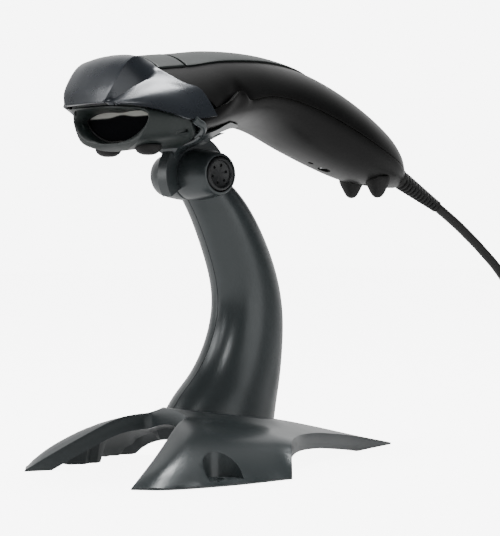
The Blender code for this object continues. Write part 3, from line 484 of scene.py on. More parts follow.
BACKDROP_FACING = (-0.72, 0.65, 0.05)      # the white wall stands behind the object
ROOM_LIGHT = (0.07, 1.3)         # the room's light away from that wall, and of the wall
FLOOR_COLOUR = (0.42, 0.42, 0.42, 1.0)
FLOOR_GLOW = 0.45               # what the floor gives back to the object
FLOOR_SHOWN = 7.0               # what it looks like, as white as the wall
WHITE = (1.0, 1.0, 1.0, 1.0)
LIGHTS = [  # name, place, what it points at, width, height (metres), watts
    ("softbox_top", (0.0, 0.08, 1.2), (0.0, 0.0, 0.05), 0.40, 0.40, 21.0),
    ("softbox_left", (-0.60, -0.80, 0.70), (0.0, -0.05, 0.12), 0.40, 0.40, 4.0),
    ("strip_front", (0.62, -0.76, 0.78), (0.0, 0.0, 0.06), 0.09, 0.24, 3.2),
    ("fill_right", (0.80, 0.12, 0.17), (0.0, 0.0, 0.12), 0.60, 0.32, 1.3),
    ("edge_left", (-0.85, -0.75, 0.17), (0.0, 0.0, 0.12), 0.34, 0.30, 1.4),
    ("strip_left", (-0.14, -1.05, 0.62), (0.0, 0.0, 0.08), 0.08, 0.42, 1.8)]


def make_studio():
    bm = bmesh.new()
    bmesh.ops.create_grid(bm, x_segments=1, y_segments=1, size=3.0)
    floor = add_item("floor", bm)
    pale = bpy.data.materials.new("floor_pale")
    pale.use_nodes = True
    tree = pale.node_tree
    seen = node(tree, "LightPath", "Is Camera Ray", {})
    glow = map_range(tree, seen, 0.0, 1.0, FLOOR_GLOW, FLOOR_SHOWN)
    fill(tree, tree.nodes["Principled BSDF"], {
        "Base Color": FLOOR_COLOUR, "Roughness": 0.9, "Emission Color": WHITE, "Emission Strength": glow})
    floor.data.materials.append(pale)
    world = bpy.data.worlds.new("studio")
    bpy.context.scene.world = world
    world.use_nodes = True
    tree = world.node_tree
    heading = node(tree, "TexCoord", "Generated", {})
    facing = node(tree, "VectorMath", "Value", {0: heading, 1: BACKDROP_FACING}, operation="DOT_PRODUCT")
    room = tree.nodes["Background"]
    wall = map_range(tree, facing, 0.2, 0.8, *ROOM_LIGHT, "SMOOTHSTEP")
    fill(tree, room, {"Strength": 1.0, "Color": wall})
    shown = node(tree, "Background", "Background", {"Color": WHITE, "Strength": FLOOR_SHOWN + 0.4})
    seen = node(tree, "LightPath", "Is Camera Ray", {})
    mix = node(tree, "MixShader", "Shader", {"Fac": seen, 1: room.outputs["Background"], 2: shown})
    fill(tree, tree.nodes["World Output"], {"Surface": mix})
    for light in LIGHTS:
        area_light(*light)


# ---------------- cord, coil and plug
CORD_TOP = [(0.0, 132.8, 107.05), (0.0, 147.0, 98.8), (0.0, 161.0, 89.5)]
CORD_DOWN = [(0.0, 161.0, 89.5), (0.0, 177.0, 77.0), (0.0, 190.0, 62.0), (0.0, 198.5, 45.0),
             (0.0, 205.5, 28.0), (0.0, 213.5, 13.0), (0.0, 224.0, 4.2), (0.0, 236.8, 2.3)]
COIL_MIDDLE = (29.5, 254.0)
COIL_TURN_R = 25.0
PITCH = 2 * CORD_R - 0.06
CORD_TAIL = [(57.6, 235.5, 10.2), (58.4, 228.0, 8.6), (58.8, 220.0, 5.6), (58.8, 213.3, 4.0)]
PLUG = (58.8, 213.0)
PLUG_LEVEL = 3.9
PLUG_GRIP = [  # place along the grip, half width, half height
    (0.0, 2.6, 2.6), (0.2, 3.2, 3.0), (5.0, 3.8, 3.2), (6.5, 6.2, 3.6), (8.0, 7.4, 3.8), (14.0, 7.5, 3.85),
    (19.2, 7.3, 3.8), (20.0, 6.8, 3.4)]
TIE_LEVEL = 6.3


def pipe(name, points, radius, sides=16):
    """A round tube along points in metres, closed at its ends."""
    bm = bmesh.new()
    rings = []
    side = None
    for index, point in enumerate(points):
        ahead = points[min(index + 1, len(points) - 1)] - points[max(index - 1, 0)]
        ahead.normalize()
        if side is None:
            side = Vector((1.0, 0.0, 0.0)).cross(ahead).normalized()
        side = (side - ahead * side.dot(ahead)).normalized()
        other = ahead.cross(side)
        ring = []
        for step in range(sides):
            angle = 2 * math.pi * step / sides
            ring.append(bm.verts.new(point + (side * math.cos(angle) + other * math.sin(angle)) * radius))
        rings.append(ring)
    for near, far in zip(rings, rings[1:]):
        bridge(bm, near, far)
    bm.faces.new(list(reversed(rings[0])))
    bm.faces.new(rings[-1])
    return add_item(name, bm, outward=True)


def coil_points():
    """Three turns in, three turns out above them, and two turns out in the grooves on top."""
    x, y = COIL_MIDDLE
    lanes = [(COIL_TURN_R + PITCH * step, CORD_R) for step in (1, 0, -1)]
    lanes += [(COIL_TURN_R + PITCH * step, CORD_R + PITCH) for step in (-1, 0, 1)]
    lanes += [(COIL_TURN_R + PITCH * step, CORD_R + PITCH * 1.87) for step in (-0.5, 0.5)]
    points = []
    for index, (radius, level) in enumerate(lanes):
        after = lanes[min(index + 1, len(lanes) - 1)]
        for step in range(40):
            t = step / 40
            swap = ease(t, 0.80, 1.0)
            hump = 2.1 * math.sin(math.pi * swap) if index == 5 else 0.0
            turn = math.pi - 2 * math.pi * t
            reach = radius + (after[0] - radius) * swap
            points.append(at(x + reach * math.cos(turn), y + reach * math.sin(turn),
                             level + (after[1] - level) * swap + hump))
    radius, level = lanes[-1]
    for step in range(20):
        turn = math.pi - math.pi * step / 20
        points.append(at(x + radius * math.cos(turn), y + radius * math.sin(turn), level))
    return points


def make_cord():
    top = [at(*point) for point in curve_through(CORD_TOP, 15)]
    upper = settle(pipe("cord_top", top, CORD_R * MM))
    down = [at(*point) for point in curve_through(CORD_DOWN, 40)]
    tail = [at(*point) for point in curve_through(CORD_TAIL, 9)]
    coil = coil_points()
    bridge = [coil[-1].lerp(tail[0], t) for t in (0.33, 0.66)]
    lead_in = [down[-1].lerp(coil[0], t) for t in (0.35, 0.7)]
    route = resample(down + lead_in + coil + bridge + tail, 520)
    lower = settle(pipe("cord_long", route, CORD_R * MM))
    for item in (upper, lower):
        item.data.materials.append(material_of("cord_black"))
    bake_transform(upper)
    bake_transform(lower)
    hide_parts("cord_run")
    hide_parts("cord_run", "cord_coil", "cord_tail")

    grip = make_plug_grip()
    shell = make_plug_shell()
    tie = make_tie()
    relief = make_relief()


def make_plug_grip():
    x, y = PLUG
    rings = []
    for along, half_x, half_z in PLUG_GRIP:
        rings.append([(x + across * half_x, y - along, PLUG_LEVEL + up * half_z)
                      for across, up in squared_ring(0.55)])
    grip = settle(skin("plug_grip_moulded", rings), rim=0.25)
    return dress(grip, "stand", "cord_black", "plug_grip")


def make_plug_shell():
    x, y = PLUG
    shell = box("plug_shell_steel", (x - 6.0, y - 32.3, 1.6), (x + 6.0, y - 20.0, 6.1))
    mouth = box("mouth", (x - 5.65, y - 40.0, 1.95), (x + 5.65, y - 21.5, 5.75))
    holes = [box("hole", (x + side * 2.9 - 1.1, y - 28.2, 5.0), (x + side * 2.9 + 1.1, y - 26.0, 8.0))
             for side in (-1, 1)]
    combine(shell, "DIFFERENCE", mouth, *holes)
    settle(shell, rim=0.12)
    return dress(shell, "stand", "steel", "plug_shell")


def make_tie():
    """A flat strap round the coil's turns."""
    x, y = COIL_MIDDLE
    turn = math.radians(200.0)
    out = Vector((math.cos(turn), math.sin(turn), 0.0))
    along = Vector((-out.y, out.x, 0.0))
    middle = Vector((x, y, 0.0)) + out * COIL_TURN_R
    rings = []
    for half_wide, grow in ((-3.6, 0.25), (-3.3, 0.75), (3.3, 0.75), (3.6, 0.25)):
        ring = []
        for across, up in squared_ring(0.6):
            spot = middle + out * (across * (6.7 + grow)) + along * half_wide
            ring.append((spot.x, spot.y, max(TIE_LEVEL + up * (6.2 + grow), 0.1)))
        rings.append(ring)
    return dress(settle(skin("cord_tie", rings)), "stand", "rubber_black")


RELIEF_START = (0.0, 103.4, 121.4)
RELIEF_END = (0.0, 132.5, 107.2)


def make_relief():
    start, end = Vector(RELIEF_START), Vector(RELIEF_END)
    length = (end - start).length
    profile = [(0.0, length), (2.45, length), (2.75, length - 0.3)]
    ribs = 11
    for index in range(ribs):
        high = length - 1.2 - (length - 6.6) * index / ribs
        wide = 2.8 + 1.6 * index / ribs
        for drop, inset in ((0.0, 0.62), (0.25, 0.12), (0.5, 0.0), (1.2, 0.0), (1.45, 0.12), (1.7, 0.62)):
            profile.append((wide - inset, high - drop))
    profile += [(4.5, 4.2), (4.6, 3.6), (4.6, -1.0), (0.0, -1.0)]
    relief = settle(turned("strain_relief_ribbed", profile, start, end - start))
    return dress(relief, "scanner", "rubber_black", "strain_relief")


# ---------------- base of the stand
FOOT_EDGE = [(34.0, -73.0), (44.2, -62.8), (50.9, -38.2), (53.0, -9.0)]
ARCH_CORNER = (14.0, -27.0)
REAR_TIP_Y = 102.0
SIDE_ARCH = [(53.0, -9.0), (42.0, 1.0), (34.5, 10.0), (29.0, 19.0), (24.5, 29.0), (19.0, 43.0),
             (8.0, 73.0), (0.0, REAR_TIP_Y)]
RIDGE = [(-30.0, 24.9), (0.0, 21.4), (31.0, 16.8), (52.0, 12.4), (78.0, 6.4), (REAR_TIP_Y, 1.2)]
NECK_FOOT = (16.4, 25.6)
FOOT_SLOPE = -0.148
FOOT_MIDDLE = (0.7, 22.0)
RECESS = (45.5, -38.8)
RECESS_R = 8.5
SKIRT = 6.5
TOP_WALL = 2.6
MESH_STEP = 3.0
EDGE_HIGH = 0.9                 # height of the base's edge
DOME_RISE, DOME_REACH = 27.0, 22.0      # how the feet rise inward from their edges
CROWN_FALL = 0.24               # fall of the ridge to either side
TOE_RISE = 0.57                 # rise of the toes back from their tips
HUB_FLAT, HUB_FALL = 1.06, 14.0         # the neck's seat, in neck radii, and the fall outside it
HUB_FADE = (1.45, 1.75)
EDGE_POINTS = curve_through(FOOT_EDGE, 80)
PADS = {"foot_pad_left": (-38.5, -60.5), "foot_pad_right": (38.5, -60.5), "foot_pad_rear": (0.0, 80.0)}


def foot_ellipse(x, y):
    return math.hypot(x / NECK_FOOT[0], (y - FOOT_MIDDLE[0]) / NECK_FOOT[1])


def base_top(x, y):
    """Height of the base's upper surface."""
    x = abs(x)
    spot = Vector((x, y))
    outward = min((spot - point).length for point in EDGE_POINTS)
    flank = EDGE_HIGH + DOME_RISE * (1 - math.exp(-outward / DOME_REACH))
    crown = blend(RIDGE, y)[0] - CROWN_FALL * (math.hypot(x, 8.0) - 8.0)
    height = soft_min(flank, crown, 3.5)
    height = soft_min(height, EDGE_HIGH + TOE_RISE * (y - TIP_Y), 2.0)
    ellipse = foot_ellipse(x, y)
    hub = FOOT_MIDDLE[1] + FOOT_SLOPE * (y - FOOT_MIDDLE[0]) - 0.9
    if ellipse < HUB_FLAT:
        return hub
    hub -= (ellipse - HUB_FLAT) * HUB_FALL
    blended = -soft_min(-height, -hub, 1.6)
    return max(1.0, blended + (height - blended) * ease(ellipse, *HUB_FADE))


def half_outline(step):
    """Half of the base's plan, from the middle of the front arch round the foot to the rear tip."""
    edge = curve_through(FOOT_EDGE, 1 + round(75 / step))
    side = curve_through(SIDE_ARCH, 1 + round(130 / step))
    corner = [Vector(p) for p in arc(ARCH_CORNER[0] - 4.0, ARCH_CORNER[1] - 4.0, 4.0, 90.0, 15.0, 7)]
    arch = [Vector((x, ARCH_CORNER[1])) for x in spread(0.0, ARCH_CORNER[0] - 5.0, 4)] + corner
    wall = curve_through([corner[-1], (22.0, -45.0), (28.2, -58.0), FOOT_EDGE[0]], 1 + round(50 / step))[1:]
    return arch + wall + edge[1:] + side[1:]


def make_base():
    half = half_outline(MESH_STEP)
    plan = half + [Vector((-point.x, point.y)) for point in reversed(half[1:-1])]
    inner = []
    for ellipse in (0.9, 1.0, 1.06, 1.10, 1.16, 1.24, 1.34, 1.46, 1.58, 1.72):
        for index in range(72):
            angle = 2 * math.pi * (index + 0.5) / 72
            spot = Vector((NECK_FOOT[0] * ellipse * math.cos(angle),
                           FOOT_MIDDLE[0] + NECK_FOOT[1] * ellipse * math.sin(angle)))
            if inside(spot, plan) and clearance(spot, plan) > 1.2:
                inner.append(spot)
    rows = int((REAR_TIP_Y - TIP_Y) / MESH_STEP)
    for row in range(rows + 1):
        for column in range(-18, 19):
            spot = Vector(((column + 0.5 * (row % 2)) * MESH_STEP, TIP_Y + MESH_STEP * (row + 0.5)))
            if foot_ellipse(*spot) < 1.78 or not inside(spot, plan):
                continue
            if clearance(spot, plan) > MESH_STEP * 0.45:
                inner.append(spot)
    for first, second in zip(plan, plan[1:] + plan[:1]):
        along = (second - first).normalized()
        spot = (first + second) / 2 + Vector((-along.y, along.x)) * 0.9
        if inside(spot, plan) and clearance(spot, plan) > 0.6:
            inner.append(spot)
    spots, faces = triangulated(plan, inner)

    def under(x, y, top):
        deep = SKIRT if clearance(Vector((x, y)), plan) < 3.2 else TOP_WALL
        if (Vector((abs(x), y)) - Vector(RECESS)).length < RECESS_R + 2.4:
            deep = 40.0
        return max(FLOOR_CLEAR, top - deep)

    tops = [base_top(p.x, p.y) for p in spots]
    upper = [at(p.x, p.y, top) for p, top in zip(spots, tops)]
    lower = [at(p.x, p.y, under(p.x, p.y, top)) for p, top in zip(spots, tops)]
    base = layered("base_moulding", faces, upper, lower)
    cuts = []
    for side in (-1, 1):
        x, y = side * RECESS[0], RECESS[1]
        cuts.append(upright("pocket", x + side * 1.4, y, 2.4, 40.0, RECESS_R - 0.7, 72))
        cuts.append(upright("hole", x - side * 1.5, y, -5.0, 8.0, 2.1, 32))
        cuts.append(upright("hole", x + side * 2.6, y - 4.2, -5.0, 8.0, 0.9))
    combine(base, "DIFFERENCE", *cuts)
    settle(base, rim=0.45)
    dress(base, "stand", "stand_gunmetal", "base_shell")
    profile = [(0.0, 1.5), (3.5, 1.5), (3.6, 1.4), (3.6, 0.3), (3.3, 0.0), (0.0, 0.0)]
    for name, (x, y) in PADS.items():
        pad = turned(f"{name}_rubber", profile, (x, y, 0.0), (0.0, 0.0, 1.0), steps=40)
        dress(settle(pad), "stand", "rubber_black", name)


# ---------------- neck halves and hinge barrel
NECK = [  # place along the neck, centre y, centre z, half width, half depth, tilt of the section
    (0.0, 0.7, 20.9, 16.4, 25.6, 8.4), (1.0, 4.0, 28.6, 15.3, 24.0, 6.0),
    (2.0, 8.5, 35.4, 14.5, 21.2, 4.0), (3.0, 12.7, 46.6, 13.5, 18.5, 2.0),
    (4.0, 15.0, 57.5, 12.9, 16.8, 0.0), (5.0, 15.3, 68.0, 12.5, 15.6, 0.0),
    (6.0, 12.4, 80.0, 12.3, 14.8, -5.0), (7.0, 6.4, 93.0, 12.1, 13.6, -12.0),
    (8.0, -1.4, 106.2, 11.4, 11.7, -22.0), (9.0, -10.1, 114.3, 10.15, 8.9, -35.0)]
BASE_SCREWS_Y = (-12.0, 14.0)
KNOB_HOLES, KNOB_HOLES_R = 6, 3.6
NECK_SCREWS = [(11.5, 44.0), (11.0, 84.0)]


def neck_ring(where, side, count):
    y, z, half_x, half_d, tilt = blend(NECK, where)
    tilt = math.radians(tilt)
    ring = []
    for index in range(count):
        angle = math.pi * index / (count - 1)
        across = max(SEAM_HALF, half_x * math.sin(angle) ** 0.94)
        deep = -half_d * math.cos(angle)
        ring.append((side * across, y + deep * math.cos(tilt), z - deep * math.sin(tilt)))
    return ring


def smoothed(rings, rounds):
    """The rings with the waves between them evened out; the first and last ones stay."""
    for _ in range(rounds):
        middle = [[tuple((a + 2 * b + c) / 4 for a, b, c in zip(*spots)) for spots in zip(*three)]
                  for three in zip(rings, rings[1:], rings[2:])]
        rings = [rings[0], *middle, rings[-1]]
    return rings


def slot_outline():
    """The side view of the slot that the cradle's hub turns in."""
    front, rear = 214.0, 350.0
    return (arc(HINGE_Y, HINGE_Z, 8.3, front, rear, 25)
            + arc(HINGE_Y, HINGE_Z, 16.0, rear, front + 360.0, 25))


def on_barrel(name, profile, side, steps):
    """Turn a profile about the hinge's axis, with its heights counted to the given side."""
    return turned(name, profile, (0.0, HINGE_Y, HINGE_Z), (side, 0.0, 0.0), steps)


def make_neck():
    for side, label in SIDES:
        rings = [neck_ring(where, side, 33) for where in spread(0.0, 9.0, 91)]
        half = skin(f"neck_moulding_{label}", smoothed(rings, 60))
        edge = [(BARREL_R - drop, BARREL_HALF - back) for drop, back in BARREL_EDGE]
        profile = [(0.0, BARREL_HALF), *edge, (BARREL_R, SEAM_HALF + 1.0),
                   (BARREL_R - 0.1, SEAM_HALF + 0.3), (BARREL_R - 0.3, SEAM_HALF), (0.0, SEAM_HALF)]
        barrel = on_barrel("barrel", profile, side, 96)
        combine(half, "UNION", barrel)
        seat_r, seat_x = (7.3, 12.6) if side > 0 else (6.6, 12.0)
        slot = plate("slot", slot_outline(), -SLOT_HALF, SLOT_HALF)
        seat = on_hinge("seat", side * seat_x, side * 30.0, seat_r, 72)
        bore = on_hinge("bore", -30.0, 30.0, 2.6, 32)
        pocket = on_hinge("pocket", side * 8.0, side * 30.0, 4.9, 48)
        cuts = [slot, seat, bore, pocket]
        for y in BASE_SCREWS_Y:
            low = base_top(0.0, y)
            cuts.append(upright("screw_hole", 0.0, y, low - 9.0, low + 9.0, 1.8))
        for y, z in NECK_SCREWS:
            far = -20.0 if side < 0 else 9.4
            cuts.append(rod("screw_bore", (-side, y, z), (far, y, z), 1.7, sides=24))
            if side < 0:
                cuts.append(rod("screw_head", (-7.4, y, z), (far, y, z), 3.0, sides=32))
        combine(half, "DIFFERENCE", *cuts)
        settle(half, sharp=38.0)
        dress(half, "stand", "stand_gunmetal", f"neck_half_{label}")
    profile = [(0.0, -19.4), (3.0, -19.3), (4.4, -18.9), (5.5, -18.3), (6.0, -17.9), (6.2, -17.4),
               (6.2, -12.5), (4.6, -12.5), (4.6, -16.7), (0.0, -17.1)]
    cap = on_barrel("barrel_cap", profile, 1.0, 72)
    dress(settle(cap), "stand", "stand_gunmetal", "barrel_end_cap")
    profile = [(0.0, 16.5), (4.9, 16.5), (5.15, 16.65), (5.3, 17.1), (5.45, 17.55), (5.8, 17.8), (6.3, 17.75),
               (6.65, 17.4), (6.8, 16.9), (6.8, 13.0), (0.0, 13.0)]
    knob = on_barrel("knob", profile, 1.0, 96)
    cuts = [on_hinge("knob_bore", 10.0, 15.3, PIN_BORE_R, 32)]
    for y, z in arc(HINGE_Y, HINGE_Z, KNOB_HOLES_R, 15, 315, KNOB_HOLES):
        cuts.append(rod("knob_hole", (15.7, y, z), (22.0, y, z), 0.62, sides=24))
    combine(knob, "DIFFERENCE", *cuts)
    dress(settle(knob, rim=0.08), "knob", "knob_dark", "tension_knob")


# ---------------- scanner shells
SECTIONS = [  # place y, top, bottom, half width, height of the widest point, upper and lower fullness
    (-48.0, 162.8, 129.2, 31.5, 137.6, 1.70, 2.0), (-41.0, 163.8, 129.4, 33.0, 136.8, 1.70, 2.0),
    (-28.0, 165.4, 131.0, 31.0, 140.2, 1.75, 2.0), (-12.0, 167.5, 135.8, 27.5, 145.5, 1.90, 2.1),
    (6.0, 167.9, 138.9, 24.0, 150.0, 2.00, 2.2), (22.0, 166.6, 136.8, 21.8, 149.5, 2.05, 2.2),
    (42.0, 162.8, 128.8, 20.4, 145.0, 2.10, 2.3), (60.0, 156.6, 122.4, 19.6, 138.6, 2.10, 2.3),
    (76.0, 149.0, 117.8, 18.2, 132.2, 2.10, 2.3), (90.0, 141.0, 115.8, 15.2, 126.8, 2.05, 2.2),
    (98.0, 135.0, 115.2, 11.6, 123.6, 2.00, 2.0), (TAIL_Y, 129.6, 115.2, 7.4, 122.4, 2.00, 2.0)]
STRIP_HALF = [  # place y, half width of the green strip on top
    (-45.0, 15.6), (-31.0, 15.8), (-14.0, 15.4), (0.0, 14.6), (12.0, 12.8), (24.0, 10.0), (36.0, 6.6),
    (46.0, 3.2), (51.0, 1.2)]
STRIP_PROUD = 0.75
INLAY_SPAN, TRIGGER_SPAN = (-31.0, 51.0), (-45.2, -32.0)
MERGE_Y = -26.0                 # behind this place the shells' sections stand square across
SEAM_GAP = 0.14
HOOD_EDGE = [  # degrees round the section, place y of the upper shell's front edge
    (4.0, -28.0), (16.0, -31.8), (30.0, -37.6), (45.0, -43.4), (62.0, -45.6), (90.0, -45.6)]
PARTING = [  # place y, degrees of the shells' parting line above the widest point
    (-48.0, 11.5), (-40.0, 10.4), (-29.0, 9.6), (-20.0, 11.0), (-13.0, 15.5), (-8.0, 4.0), (-2.0, 0.0),
    (TAIL_Y, 0.0)]
PARTING_FRONT = 10.8
FIN_PROUD, FIN_DEEP = 1.9, 0.9          # how far it stands out, and the upper shell's recess for it
FIN_FADE = 9.0
FIN_ENDS = [(-30.0, -20.0), (-12.0, -5.0)]      # places y over which it rises and falls
SHELL_WALL = 1.6
RELEASE_Y = 52.0
SHELL_SCREWS_Y = (60.0, 86.0)


def section(y, angle, grow=0.0):
    """A point of the scanner's outer surface; angle is in degrees, 90 at the top, 0 at +X."""
    top, bottom, half, widest, upper, lower = blend(SECTIONS, y)
    turn = math.radians(angle)
    power, reach = (upper, top - widest) if math.sin(turn) >= 0 else (lower, widest - bottom)
    across, up = squared(turn, 2 / power)
    return (across * (half + grow), y, widest + up * (reach + grow))


def parting(y):
    return blend(PARTING, y)[0]


def fin(y, above):
    """How far the lower shell's fin stands out of the body, by distance from its edge in degrees."""
    rise, fall = FIN_ENDS
    return ease(y, *rise) * (1 - ease(y, *fall)) * math.exp(-(above / FIN_FADE) ** 2)


def shell_grid(front, low, high, grow):
    """Rows of a shell's outer surface, from its front edge to the mouth round the strain relief."""
    columns = spread(0.0, 1.0, 61)
    grid = []

    def ring(ys):
        row = []
        for v, y in zip(columns, ys):
            angle = low(y) + (high(y) - low(y)) * v
            row.append(section(y, angle, grow(y, angle)))
        return row

    for u in spread(0.0, 1.0, 14)[:-1]:
        grid.append(ring([front(v) + (MERGE_Y - front(v)) * u for v in columns]))
    for y in spread(MERGE_Y, TAIL_Y, 88):
        grid.append(ring([y] * len(columns)))
    middle = Vector((0.0, TAIL_Y, 121.6))
    for reach, beyond in ((0.96, 0.5), (0.88, 1.0), (0.76, 1.3), (0.64, 1.3), (0.60, 0.6)):
        rim = []
        for x, y, z in ring([TAIL_Y] * len(columns)):
            spot = middle + (Vector((x, y, z)) - middle) * reach
            rim.append((spot.x, TAIL_Y + beyond, spot.z))
        grid.append(rim)
    return grid


def make_shells():
    def gap(y):
        return math.degrees(SEAM_GAP / blend(SECTIONS, y)[2])

    def upper_front(v):
        angle = 3.0 + 87.0 * (1 - abs(2 * v - 1))
        return blend(HOOD_EDGE, angle)[0]

    def lower_front(v):
        side = abs(2 * v - 1)
        return -27.5 - 12.5 * side ** 1.4 - 5.4 * side ** 14

    def above(y, angle):
        return min(abs(angle - parting(y)), abs(angle - 180 + parting(y)), abs(angle - 360 - parting(y)))

    rows = shell_grid(upper_front, lambda y: parting(y) + gap(y), lambda y: 180 - parting(y) - gap(y),
                      lambda y, angle: -FIN_DEEP * fin(y, above(y, angle)))
    upper = sheet("shell_top", rows, SHELL_WALL)
    well = box("trigger_well", (-16.2, -50.0, 153.0), (16.2, -31.5, 175.0))
    combine(upper, "DIFFERENCE", well)
    dress(settle(upper, rim=0.2), "scanner", "shell_black", "upper_shell")
    rows = shell_grid(lower_front, lambda y: 180 - parting(y) + gap(y), lambda y: 360 + parting(y) - gap(y),
                      lambda y, angle: FIN_PROUD * fin(y, above(y, angle)))
    lower = sheet("shell_bottom", rows, SHELL_WALL)
    cuts = [upright("release", 0.0, RELEASE_Y, 110.0, 134.0, 1.2)]
    for y in SHELL_SCREWS_Y:
        bottom = section(y, 270.0)[2]
        cuts.append(upright("screw_hole", 0.0, y, bottom - 6.0, bottom + 6.0, 2.8, 36))
    combine(lower, "DIFFERENCE", *cuts)
    dress(settle(lower, rim=0.2), "scanner", "shell_black", "lower_shell")
    # painted highlight: a bead along the lower shell's front edge gets the paler gunmetal finish in place of the
    # black shell's, standing in for the light caught on that glossy edge
    for side, label in SIDES:
        line = []
        for t in spread(0.46, 0.945, 40):
            angle = -90.0 + side * (90.0 + PARTING_FRONT) * t
            line.append(at(*section(lower_front(0.5 + 0.5 * side * t), angle, 0.3)))
        dress(settle(pipe(f"shell_lip_painted_highlight_{label}", line, 1.5 * MM, sides=24)), "scanner", "stand_gunmetal")


def make_inlay():
    def strip(front, rear, rows, grow, crown):
        grid = []
        for y in spread(front, rear, rows):
            half = blend(STRIP_HALF, y)[0]
            _, _, wide, _, upper, _ = blend(SECTIONS, y)
            angle = math.degrees(math.acos(min(1.0, half / wide) ** (upper / 2)))
            ring = []
            for turn in spread(angle, 180 - angle, 33):
                t = (turn - angle) / (180 - 2 * angle)
                ring.append(section(y, turn, grow + crown * max(0.0, math.sin(math.pi * t)) ** 0.6))
            grid.append(ring)
        return grid

    inlay = sheet("inlay", strip(*INLAY_SPAN, 70, STRIP_PROUD, 0.55), 1.2)
    dress(settle(inlay, rim=0.3), "scanner", "green_grey", "top_inlay")
    button = sheet("trigger", strip(*TRIGGER_SPAN, 24, STRIP_PROUD, 0.7), 2.6)
    dress(settle(button, rim=0.5), "trigger", "green_grey", "trigger_button")


# ---------------- hood, jaw and window
FACET = [  # columns of the front facet, from the middle line to its edge, each from the lip to the rear edge
    [(0.0, -69.9, 144.6), (0.0, -67.8, 151.4), (0.0, -62.0, 160.7), (0.0, -55.4, 164.3), (0.0, -46.1, 163.9)],
    [(6.8, -69.8, 144.6), (7.6, -67.6, 151.3), (7.8, -61.8, 160.5), (7.4, -55.2, 164.0), (6.8, -46.1, 163.5)],
    [(12.6, -69.4, 144.6), (15.4, -67.0, 151.0), (15.9, -61.0, 159.8), (14.6, -54.8, 163.0),
     (12.9, -46.3, 161.3)]]
FLANK = [  # columns of the side, from the foot of the facet's side wall down to the rim
    [(14.6, -68.4, 144.5), (15.9, -62.6, 148.2), (17.0, -56.8, 151.6), (17.8, -51.2, 154.6),
     (17.6, -46.4, 158.4)],
    [(16.0, -67.3, 144.5), (20.2, -61.0, 146.4), (22.2, -54.6, 149.4), (23.2, -48.0, 152.2),
     (25.2, -40.8, 153.3)],
    [(16.5, -66.8, 144.4), (22.0, -59.8, 145.4), (26.0, -51.8, 147.2), (28.2, -43.6, 149.4),
     (29.1, -35.4, 150.8)],
    [(17.0, -66.4, 144.3), (23.2, -59.0, 144.2), (28.4, -50.8, 143.6), (31.8, -42.8, 143.4),
     (32.2, -32.6, 145.2)],
    [(17.4, -66.0, 144.2), (23.6, -58.6, 143.1), (29.4, -50.4, 141.0), (33.3, -43.0, 138.6),
     (33.6, -30.2, 140.2)]]
MOUTH = [(0.0, -57.0, 143.3), (8.0, -57.0, 143.2), (15.0, -56.2, 142.6), (20.6, -54.6, 140.9),
         (22.0, -53.6, 139.2), (18.6, -54.8, 135.2), (13.0, -55.6, 132.0), (6.5, -56.1, 130.1),
         (0.0, -56.2, 129.8)]
BEZEL = [(0.0, -66.4, 143.4), (8.0, -66.3, 143.4), (14.6, -64.8, 143.2), (22.6, -57.6, 142.2),
         (23.8, -56.2, 138.0), (18.8, -56.6, 131.2), (12.4, -55.4, 128.4), (6.0, -53.6, 127.1),
         (0.0, -52.8, 126.8)]
JAW_MIDDLE = [(0.0, -54.0, 151.0), (9.0, -54.0, 150.0), (18.0, -53.0, 146.2), (26.6, -49.9, 141.4),
              (28.0, -48.4, 137.8), (24.8, -47.4, 132.6), (17.6, -46.2, 129.7), (8.6, -45.4, 128.2),
              (0.0, -45.2, 127.9)]
JAW_REAR = [(0.0, -44.0, 151.0), (10.0, -44.0, 149.6), (20.0, -43.6, 145.4), (29.4, -42.4, 140.4),
            (31.0, -41.0, 137.0), (27.6, -38.0, 133.2), (19.4, -33.2, 130.7), (9.6, -29.4, 129.1),
            (0.0, -28.4, 128.7)]
WINDOW_Y = -50.6
REFLECTOR_FOOT = 140.0          # the pale reflector shows above this height, less a notch in the middle
GLASS_DARK, GLASS_PALE = (0.006, 0.006, 0.007, 1.0), (0.42, 0.42, 0.39, 1.0)
PANE_WALL = 1.2
CHIN_FOOT = (12.5, -47.6, 125.2)
TAIL_FEET = (8.0, 85.0)


def closed_ring(half, count):
    points = curve_through(half, count)
    return points + [(-x, y, z) for x, y, z in reversed(points[1:-1])]


def shrunk(ring, step, y):
    middle = sum(z for _, _, z in ring) / len(ring)
    out = []
    for x, _, z in ring:
        size = math.hypot(x, z - middle)
        scale = (size - step) / size
        out.append((x * scale, y, middle + (z - middle) * scale))
    return out


def make_hood():
    count = 41
    facet = [curve_through(column, count) for column in FACET]
    flank = [curve_through(column, count) for column in FLANK]
    rows = []
    for index in range(count):
        front = curve_through([column[index] for column in facet], 9)
        side = curve_through([column[index] for column in flank], 29)
        wall = [front[-1].lerp(side[0], t) for t in (0.06, 0.3, 0.5, 0.7, 0.94)]
        half = front + wall + side
        rows.append([(-x, y, z) for x, y, z in reversed(half[1:])] + half)
    hood = sheet("hood_cover", rows, 1.4, flip=False)
    dress(settle(hood, rim=0.35, sharp=50.0), "scanner", "hood_gunmetal", "hood")


